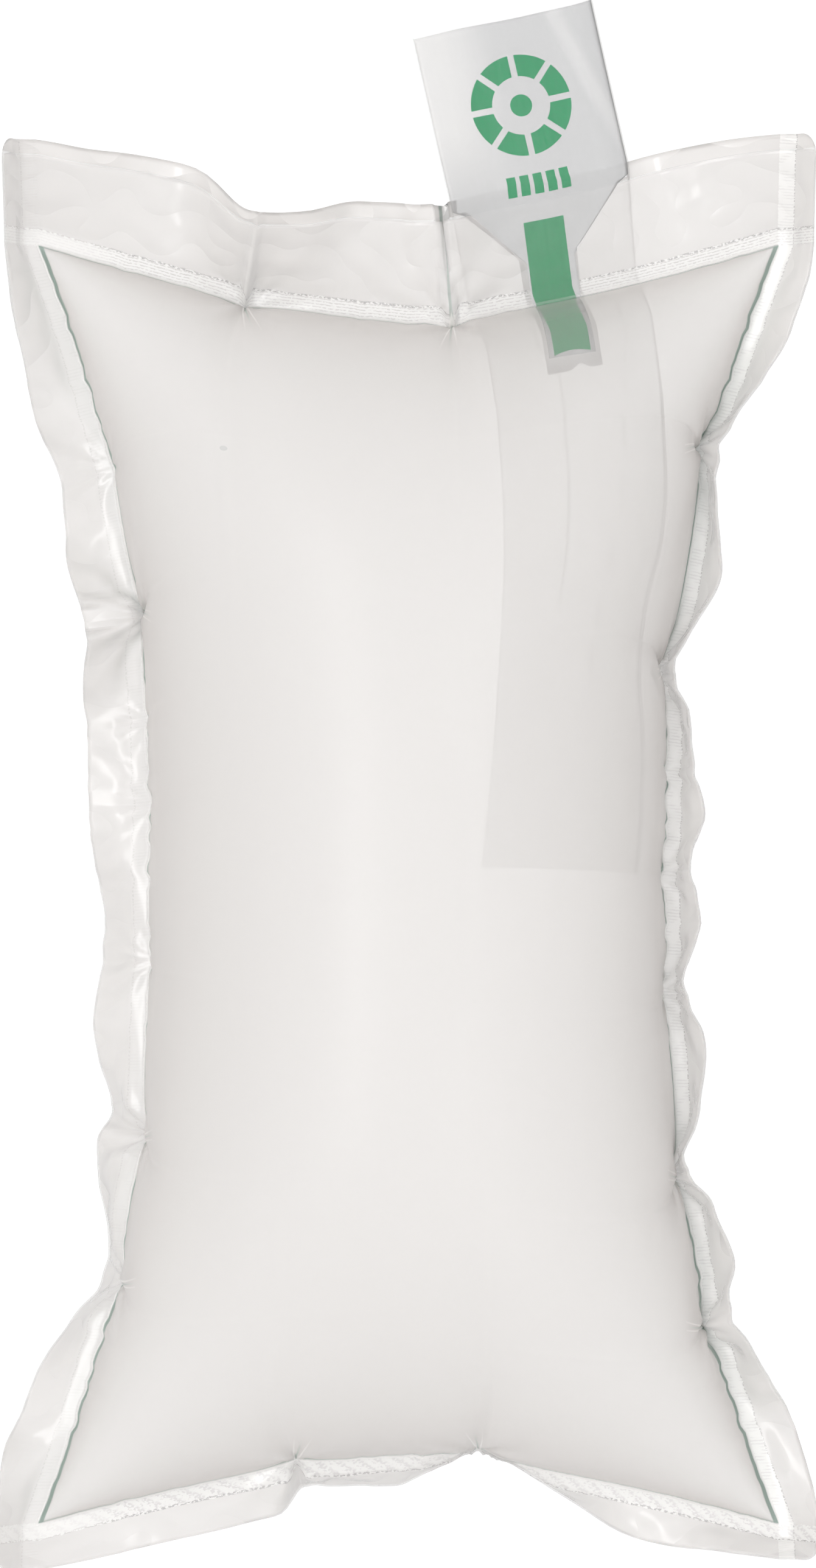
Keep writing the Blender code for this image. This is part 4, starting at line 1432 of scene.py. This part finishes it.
@dataclass(frozen=True)
class InletSleeve:
    """The flat inlet sleeve: two films from the tab's end, between the skirts, through the top weld and down
    the inside of the front film, with the printed liner between them.

    line is its middle line seen from above. free is the length over which it leaves the film inside, drop how
    far its right edge then hangs under the film, and margin how far that edge stays in from the side weld.
    funnel is the liner's half width by its distance outside the weld. A channel's weld is U by V.
    """

    form: BagForm
    width: float = 0.060
    film: float = 0.00005
    tab_reach: float = 0.0545
    tab_lean: float = math.radians(12.9)
    tab_lift: float = math.radians(6.0)
    tab_bow: float = 0.0015
    line: Knots = (
        (0.0427, 0.1979), (0.0475, 0.1619), (0.0523, 0.1495), (0.0561, 0.1235), (0.0591, 0.0815),
        (0.0571, 0.0435), (0.0545, 0.0005), (0.0511, -0.0289),
    )
    reach: float = 0.212
    free: float = 0.050
    margin: float = 0.0065
    drop: float = 0.006
    steady_rows: int = 16
    tongue_width: float = 0.018
    tongue_reach: float = 0.0450
    funnel: Knots = (
        (0.0, 0.0090), (0.0165, 0.0095), (0.0185, 0.0115), (0.0350, 0.0258), (0.0358, 0.0300),
    )
    left_channel: Knots = (
        (-0.002, -0.0105), (-0.030, -0.0120), (-0.045, -0.0060), (-0.065, -0.0060), (-0.110, -0.0060),
        (-0.150, -0.0070),
    )
    right_channel: Knots = (
        (-0.002, 0.0190), (-0.030, 0.0200), (-0.055, 0.0160), (-0.110, 0.0120), (-0.150, 0.0085),
    )
    foot: float = 0.006
    ends_sharp: float = 3.0
    middle_rounds: int = 4
    room_half: float = 0.62
    room_fade: float = 0.3
    plain_room: float = 0.75
    tab_wave: float = 0.0005
    tab_turns: Pair = (4.2, 3.1)
    columns: int = 40
    cell: float = 0.0013

    @property
    def step(self) -> float:
        """The distance between two of the sleeve's films."""
        return 1.2 * self.form.clearance + self.film

    @property
    def half_gap(self) -> float:
        """Half the gap that the sleeve needs between the panels."""
        return 2 * self.step + self.form.clearance / 2

    @property
    def half_at_weld(self) -> float:
        """Half the sleeve's width at the top weld, gathered as much as the weld is."""
        return self.width * self.form.half_chord[0] / self.form.width

    def middle(self, row_x: Array, row_y: Array) -> Array:
        """X where the sleeve's middle line crosses each row of a grid, by a few rounds of reading one from
        the other."""
        line = np.array(self.line)[::-1]
        rows = np.stack([row_x, row_y], axis=-1)
        x = np.full(len(row_x), line[-1, 0])
        for _ in range(self.middle_rounds):
            y = read_rows(rows, x[:, None])[:, 0, 1]
            x = np.interp(y, line[:, 1], line[:, 0])
        return x

    def room(self, grid: FilmGrid) -> Array:
        """Half the gap between the panels at each point: wider from the top weld out, near the sleeve."""
        x, y = grid.points[..., 0], grid.points[..., 1]
        line = np.array(self.line)[::-1]
        middle = np.interp(y, line[:, 1], line[:, 0])
        away = np.abs(x - middle) / self.width
        beside = np.clip((away - self.room_half) / self.room_fade, 0, 1)
        outside = (np.arange(len(x)) >= grid.chamber[1] - 1)[:, None]
        plain = self.plain_room * self.form.clearance
        return plain + (self.half_gap - plain) * (1 - beside) * outside

    def inner(
        self, front: Array, grid: FilmGrid, depth: float, reach: float, spread: Array
    ) -> tuple[Array, Array]:
        """The rows inside the chamber, from the inner end up to the top weld.

        As far in as the tongue a row follows the film. Further in it hangs free: it touches the film by its
        right edge only, and runs from there as a straight strip that keeps the sleeve's width.

        Args:
            front: The front film's points.
            grid: The film's grid.
            depth: How far under the film the rows lie.
            reach: How far in from the weld they go.
            spread: The columns' places, from -1 to 1 across the sleeve's full width.

        Returns:
            Points, and each row's distance from the weld, which is less than 0.
        """
        r0, r1, _, c1 = grid.chamber
        under = np.concatenate([front, normals_of(front)], axis=-1)[r0:r1][::-1]
        middle = self.middle(under[..., 0], under[..., 1])
        on_line = read_rows(under, middle[:, None])[:, 0, :3]
        gone = np.concatenate([[0], np.cumsum(np.linalg.norm(np.diff(on_line, axis=0), axis=1))])
        low = middle - self.half_at_weld
        high = np.minimum(middle + self.half_at_weld, under[:, c1 - 1, 0] - self.margin)
        free = np.minimum(1, np.maximum(0, gone - self.tongue_reach) / self.free) ** 2
        x = (low + high)[:, None] / 2 + spread * (high - low)[:, None] / 2
        found = read_rows(under, x)
        wide = high - low
        climb = np.sqrt(np.maximum(self.width**2 - wide**2, 0)) / wide
        edge_z = read_rows(under, high[:, None])[:, 0, 2]
        straight = (edge_z - self.drop)[:, None] + climb[:, None] * (high[:, None] - found[..., 0])
        found[..., 2] += np.minimum(straight - found[..., 2], 0) * free[:, None]
        rows = found[..., :3] - depth * found[..., 3:]
        count = round(reach / self.cell)
        at = np.linspace(reach, 0, count + 1)[:-1]
        k = np.clip(np.searchsorted(gone, at) - 1, 0, len(gone) - 2)
        share = ((at - gone[k]) / (gone[k + 1] - gone[k]))[:, None, None]
        made = rows[k] + (rows[k + 1] - rows[k]) * share
        hangs = np.interp(at, gone, free)[:, None, None]
        return made + (self.steadied(made) - made) * hangs, -at

    def steadied(self, rows: Array) -> Array:
        """A free strip's rows without the wrinkles that they took from the film over them: the mean of each
        row and its neighbours, near the ends taken on a line run on past the end."""
        n = self.steady_rows
        step = np.arange(n, 0, -1)[:, None, None]
        before = rows[:1] + (rows[0] - rows[n]) / n * step
        after = rows[-1:] + (rows[-1] - rows[-1 - n]) / n * step[::-1]
        total = np.cumsum(np.concatenate([np.zeros_like(rows[:1]), before, rows, after]), axis=0)
        return (total[2 * n + 1 :] - total[: -2 * n - 1]) / (2 * n + 1)

    def between(
        self, grid: FilmGrid, layer: int, inset: float, spread: Array, lined: bool
    ) -> tuple[Array, Array, Array]:
        """The rows between the skirts, from the top weld out to the back panel's edge.

        Args:
            grid: The film's grid.
            layer: 1 for the front film, 0 for the liner and -1 for the back film.
            inset: How far the edges stay in from the sleeve's.
            spread: The columns' places, from -1 to 1.
            lined: Whether the width follows the liner's funnel.

        Returns:
            Points, each row's distance out from the weld, and half its width.
        """
        r1 = grid.chamber[1]
        lies = np.concatenate([grid.points, normals_of(grid.points)], axis=-1)[r1 - 1 :]
        out = np.concatenate([[0], self.form.outs(self.form.top)])
        at_edge = self.width / 2 * math.cos(self.tab_lean)
        half = self.half_at_weld + (at_edge - self.half_at_weld) * out / self.form.top.skirt - inset
        if lined:
            funnel = np.array(self.funnel)
            half = np.minimum(half, np.interp(out, funnel[:, 0], funnel[:, 1]))
        middle = self.middle(lies[..., 0], lies[..., 1])
        found = read_rows(lies, middle[:, None] + spread * half[:, None])
        return found[..., :3] + layer * self.step * found[..., 3:], out, half

    def tab(self, edge: Array, inset: float, spread: Array) -> tuple[Array, Array]:
        """The tab's rows outside the back panel's edge: straight out, lifting and bowing a little, with one
        slow wave across.

        Args:
            edge: The row on the back panel's edge.
            inset: How far the end stays in from the sleeve's.
            spread: The columns' places, from -1 to 1.

        Returns:
            Points and each row's distance from the edge.
        """
        reach = np.linspace(0, self.tab_reach - inset, round(self.tab_reach / self.cell) + 1)[1:]
        share = reach / (self.tab_reach - inset)
        lift = reach * np.sin(self.tab_lift * share)
        way = np.array([-math.sin(self.tab_lean), math.cos(self.tab_lean), 0.0])
        across, out = self.tab_turns
        wave = self.tab_wave * np.sin(spread * across + share[:, None] * out)
        bow = self.tab_bow * (1 - spread**2) + wave
        points = edge + reach[:, None, None] * way
        points[..., 2] += lift[:, None] + bow * share[:, None]
        return points, reach

    def film_rows(self, grid: FilmGrid, front: Array, layer: int, lined: bool) -> tuple[Array, Array, Array]:
        """All the rows of one film, from its inner end to the tab's end.

        Args:
            grid: The film's grid.
            front: The front panel's points.
            layer: 1 for the front film, 0 for the liner and -1 for the back film.
            lined: Whether it is the liner.

        Returns:
            Points, and the flat coordinates U and V of each.
        """
        spread = np.linspace(-1, 1, self.columns + 1)
        inset = self.form.clearance if lined else 0.0
        depth = 2.5 * self.form.clearance + (1 - layer) * self.step
        narrow = self.tongue_width / (2 * self.half_at_weld) if lined else 1.0
        reach = self.tongue_reach if lined else self.reach
        inner, gone = self.inner(front, grid, depth, reach, spread * narrow)
        between, out, half = self.between(grid, layer, inset, spread, lined)
        tab, far = self.tab(between[-1], inset, spread)
        inner_half = np.full(len(inner), self.width / 2 * narrow)
        if not lined:
            half = np.full(len(out), self.width / 2)
        halves = np.concatenate([inner_half, half, np.full(len(tab), self.width / 2 - inset)])
        along = np.concatenate([gone, out, self.form.top.skirt + far])
        u = halves[:, None] * spread
        v = np.repeat(along[:, None], len(spread), axis=1)
        return np.concatenate([inner, between, tab]), u, v

    def channel_distance(self, u: Array, v: Array) -> Array:
        """How far each point lies from the nearest channel weld: two lines down the sleeve, each a curve
        through points of (V, U), with a short foot across its inner end."""
        nearest = np.full_like(u, 1.0)
        for knots, toward in ((self.left_channel, -1), (self.right_channel, 1)):
            line = np.array(knots)[::-1]
            end_v, end_u = line[0]
            at = np.interp(v, line[:, 0], line[:, 1])
            past = np.maximum(np.maximum(end_v - v, v - line[-1, 0]), 0)
            nearest = np.minimum(nearest, np.hypot(u - at, past * self.ends_sharp))
            beside = (u - end_u) * toward
            off = np.maximum(np.maximum(-beside, beside - self.foot), 0)
            nearest = np.minimum(nearest, np.hypot(v - end_v, off * self.ends_sharp))
        return nearest

    def build(self, grid: FilmGrid, front: Array, finish: SleeveFinish) -> list[bpy.types.Object]:
        """Builds the two films."""
        materials = finish.make("sleeve_film", self.width / 2), finish.inner_face("sleeve_film_inside")
        made = []
        for name, layer in (("sleeve_front_film", 1), ("sleeve_back_film", -1)):
            points, u, v = self.film_rows(grid, front, layer, False)
            film = film_object(f"{name}_dressed", points, (u, v), self.film, True, materials)
            near = film.data.attributes.new(CHANNEL, "FLOAT", "POINT")
            near.data.foreach_set("value", self.channel_distance(u, v).astype(np.float32).ravel())
            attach(film, ROOT)
            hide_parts(name)
            self.reach + self.form.top.skirt + self.tab_reach
            made.append(film)
        return made


@dataclass(frozen=True)
class PrintedLiner:
    """The printed film between the sleeve's two: a tab, a funnel and a tongue through the weld."""

    sleeve: InletSleeve

    @property
    def flat_area(self) -> float:
        """Its cut's area: the tab, the funnel by its mean widths, and the tongue inside."""
        sleeve = self.sleeve
        funnel = np.array(sleeve.funnel)
        skirt = sleeve.form.top.skirt
        out = np.linspace(0, skirt, 200)
        neck = 2 * np.interp(out, funnel[:, 0], funnel[:, 1]).mean() * skirt
        return sleeve.width * sleeve.tab_reach + neck + sleeve.tongue_width * sleeve.tongue_reach

    def build(self, grid: FilmGrid, front: Array, finish: LinerFinish) -> bpy.types.Object:
        """Builds the liner."""
        sleeve = self.sleeve
        points, u, v = sleeve.film_rows(grid, front, 0, True)
        materials = finish.make("liner_print"), finish.inner_face("liner_inside")
        film = film_object("printed_liner_dressed", points, (u, v), sleeve.film, True, materials)
        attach(film, ROOT)
        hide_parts("printed_liner")
        length = sleeve.tongue_reach + sleeve.form.top.skirt + sleeve.tab_reach
        self.flat_area
        return film


@dataclass(frozen=True)
class Cushion:
    """The two welded panels."""

    form: BagForm
    sleeve: InletSleeve
    fill: float = 0.95
    tongue_short: float = 0.0025

    def surface(self, grid: FilmGrid, face: Face) -> Array:
        """A panel's inner surface: the level grid moved off by half the gap, with its rise and creases."""
        r0, r1, c0, c1 = grid.chamber
        sign = face.value
        points = grid.points + sign * self.sleeve.room(grid)[..., None] * normals_of(grid.points)
        points[..., 2] += sign * grid.rise
        inside = points[r0:r1, c0:c1]
        across = grid.u[r0:r1, c0:c1] / (self.form.width / 2)
        along = grid.v[r0:r1, c0:c1] / (self.form.length / 2)
        move = self.form.creases(across, along, face)[..., None]
        points[r0:r1, c0:c1] = inside + move * normals_of(inside)
        if face is Face.BACK:
            points[..., 2] = np.maximum(points[..., 2], self.form.film)
        return points

    def sleeve_place(self, grid: FilmGrid) -> SleevePlace:
        """Where the sleeve's middle line crosses the top weld and the back panel's edge, in flat
        coordinates. The part under the weld's gathered film is wider there."""
        rows = np.array([grid.chamber[1] - 1, -1])
        x, y = grid.points[rows, :, 0], grid.points[rows, :, 1]
        crossings = zip(self.sleeve.middle(x, y), x, grid.u[rows])
        at_weld, at_edge = (float(np.interp(middle, row_x, row_u)) for middle, row_x, row_u in crossings)
        gather = self.form.width / 2 / self.form.half_chord[0]
        return SleevePlace(
            middle=at_weld,
            weld=self.form.length / 2,
            lean=(at_weld - at_edge) / self.form.top.skirt,
            half=self.sleeve.width / 2 * math.cos(self.sleeve.tab_lean) * gather,
            tongue=self.sleeve.tongue_width / 2,
            reach=self.sleeve.tongue_reach - self.tongue_short,
            funnel=tuple((out, half * gather) for out, half in self.sleeve.funnel[2:4]),
        )

    def in_middle(self, u: Array, v: Array, finish: PanelFinish) -> Array:
        """Which of a grid's cells lie in the chamber's plain middle, well inside the welds."""
        side, end = self.form.width / 2 - finish.side_margin, self.form.length / 2 - finish.end_margin
        inside = (np.abs(u) < side) & (np.abs(v) < end)
        return inside[:-1, :-1] & inside[:-1, 1:] & inside[1:, :-1] & inside[1:, 1:]

    def build(self, grid: FilmGrid, front: Array, finish: PanelFinish) -> list[bpy.types.Object]:
        """Builds the two panels. The front one ends short of the back one at the top."""
        border = finish.border("panel_film", self.form, self.sleeve_place(grid))
        inner = finish.inner_face("panel_film_inside")
        materials = border, inner, finish.middle("panel_film_middle"), inner
        back = self.surface(grid, Face.BACK)
        short = len(front) - len(EDGE_ROWS)
        made = []
        for name, points, rows, upward in (
            ("front_panel", front, short, True),
            ("back_panel", back, len(back), False),
        ):
            flat = grid.u[:rows], grid.v[:rows]
            film = film_object(f"{name}_dressed", points[:rows], flat, self.form.film, upward, materials)
            slots = 2 * self.in_middle(*flat, finish).ravel().astype(np.int32)
            film.data.polygons.foreach_set("material_index", slots)
            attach(film, ROOT)
            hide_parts(name)
            made.append(film)
        return made


@dataclass(frozen=True)
class Studio:
    """The white floor, the sky that lights it and the camera straight above."""

    floor_half: float = 6.0
    floor_drop: float = 0.0002
    floor_colour: Triple = (0.30, 0.30, 0.30)
    floor_roughness: float = 0.9
    floor_glow: float = 0.80
    white: Triple = (1.0, 1.0, 1.0)
    sky: Pair = (0.68, 0.88)
    key_way: Triple = (0.06, -0.14, 0.97)
    key_strength: float = 0.42
    key_power: float = 9.0
    panel_place: Pair = (-0.42, 0.20)
    panel_half: Pair = (0.08, 0.60)
    panel_soft: float = 0.10
    panel_strength: float = 3.6
    horizon: float = 0.05
    camera_height: float = 2.945
    lens: float = 200.0

    def floor(self) -> bpy.types.Object:
        """A large level square, a little under the bag."""
        name = "floor"
        mesh = bpy.data.meshes.new(name)
        half, z = self.floor_half, -self.floor_drop
        corners = [(-half, -half, z), (half, -half, z), (half, half, z), (-half, half, z)]
        mesh.from_pydata(corners, [], [(0, 1, 2, 3)])
        sketch = Finish(name)
        sketch.give("Base Color", self.floor_colour)
        sketch.give("Roughness", self.floor_roughness)
        sketch.give("Specular IOR Level", 0.0)
        sketch.give("Emission Color", self.white)
        sketch.give("Emission Strength", self.floor_glow)
        sketch.material.cycles.emission_sampling = "NONE"
        mesh.materials.append(sketch.material)
        floor = bpy.data.objects.new(name, mesh)
        floor.visible_diffuse = False
        floor.visible_glossy = False
        bpy.context.scene.collection.objects.link(floor)
        return floor

    def light_sky(self) -> None:
        """A pale sky that lights the whole stage, a little brighter overhead. It holds one wide soft light,
        whose strength is a power of the cosine of the angle from its middle, and one soft bright panel that
        shows as a sheen on the film."""
        world = bpy.data.worlds.new("sky")
        bpy.context.scene.world = world
        world.use_nodes = True
        world.cycles.sampling_method = "NONE"
        sketch = Sketch(world.node_tree)
        place = sketch.nodes.new("ShaderNodeTexCoord")
        x, y, z = sketch.parts(place.outputs["Generated"])
        way = Vector(self.key_way).normalized()
        toward = sketch.most(x * way.x + y * way.y + z * way.z, 0.0)
        lobe = sketch.math("POWER", toward, self.key_power)
        high = sketch.most(z, self.horizon)
        across, along = (
            (level / high).line(place, half, self.panel_soft)
            for level, place, half in zip((x, y), self.panel_place, self.panel_half)
        )
        strength = z.ramp(-0.02, 1.0).between(*self.sky) + lobe * self.key_strength
        strength = strength + across * along * self.panel_strength
        background = sketch.nodes["Background"]
        sketch.feed(background.inputs["Color"], self.white)
        sketch.feed(background.inputs["Strength"], strength)

    def camera(self) -> None:
        """The camera straight above the middle of the frame, with +Y up in the picture."""
        data = bpy.data.cameras.new("camera")
        data.lens = self.lens
        data.clip_start = 0.1
        data.clip_end = 50.0
        camera = bpy.data.objects.new("camera", data)
        camera.location = (0.0, 0.0, self.camera_height)
        camera.rotation_euler = Euler((0.0, 0.0, 0.0))
        bpy.context.scene.collection.objects.link(camera)
        bpy.context.scene.camera = camera

    def build(self) -> None:
        """Sets the whole stage, plain colours, and light paths long enough for many layers of film."""
        self.floor()
        self.light_sky()
        self.camera()
        scene = bpy.context.scene
        scene.view_settings.view_transform = "Standard"
        scene.cycles.max_bounces = 3
        scene.cycles.diffuse_bounces = 2
        scene.cycles.glossy_bounces = 2
        scene.cycles.transparent_max_bounces = 48


def main() -> None:
    """Builds the bag and its stage, and reports each piece."""
    logging.basicConfig(level=logging.INFO, format="%(name)s: %(message)s")
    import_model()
    Studio().build()
    form = BagForm()
    sleeve = InletSleeve(form)
    cushion = Cushion(form, sleeve)
    grid = form.grid()
    front = cushion.surface(grid, Face.FRONT)
    pieces = cushion.build(grid, front, PanelFinish())
    pieces += sleeve.build(grid, front, SleeveFinish())
    pieces.append(PrintedLiner(sleeve).build(grid, front, LinerFinish()))
    for piece in pieces:
        LOG.info("%s: %d faces", piece.name, len(piece.data.polygons))


if __name__ == "__main__":
    main()
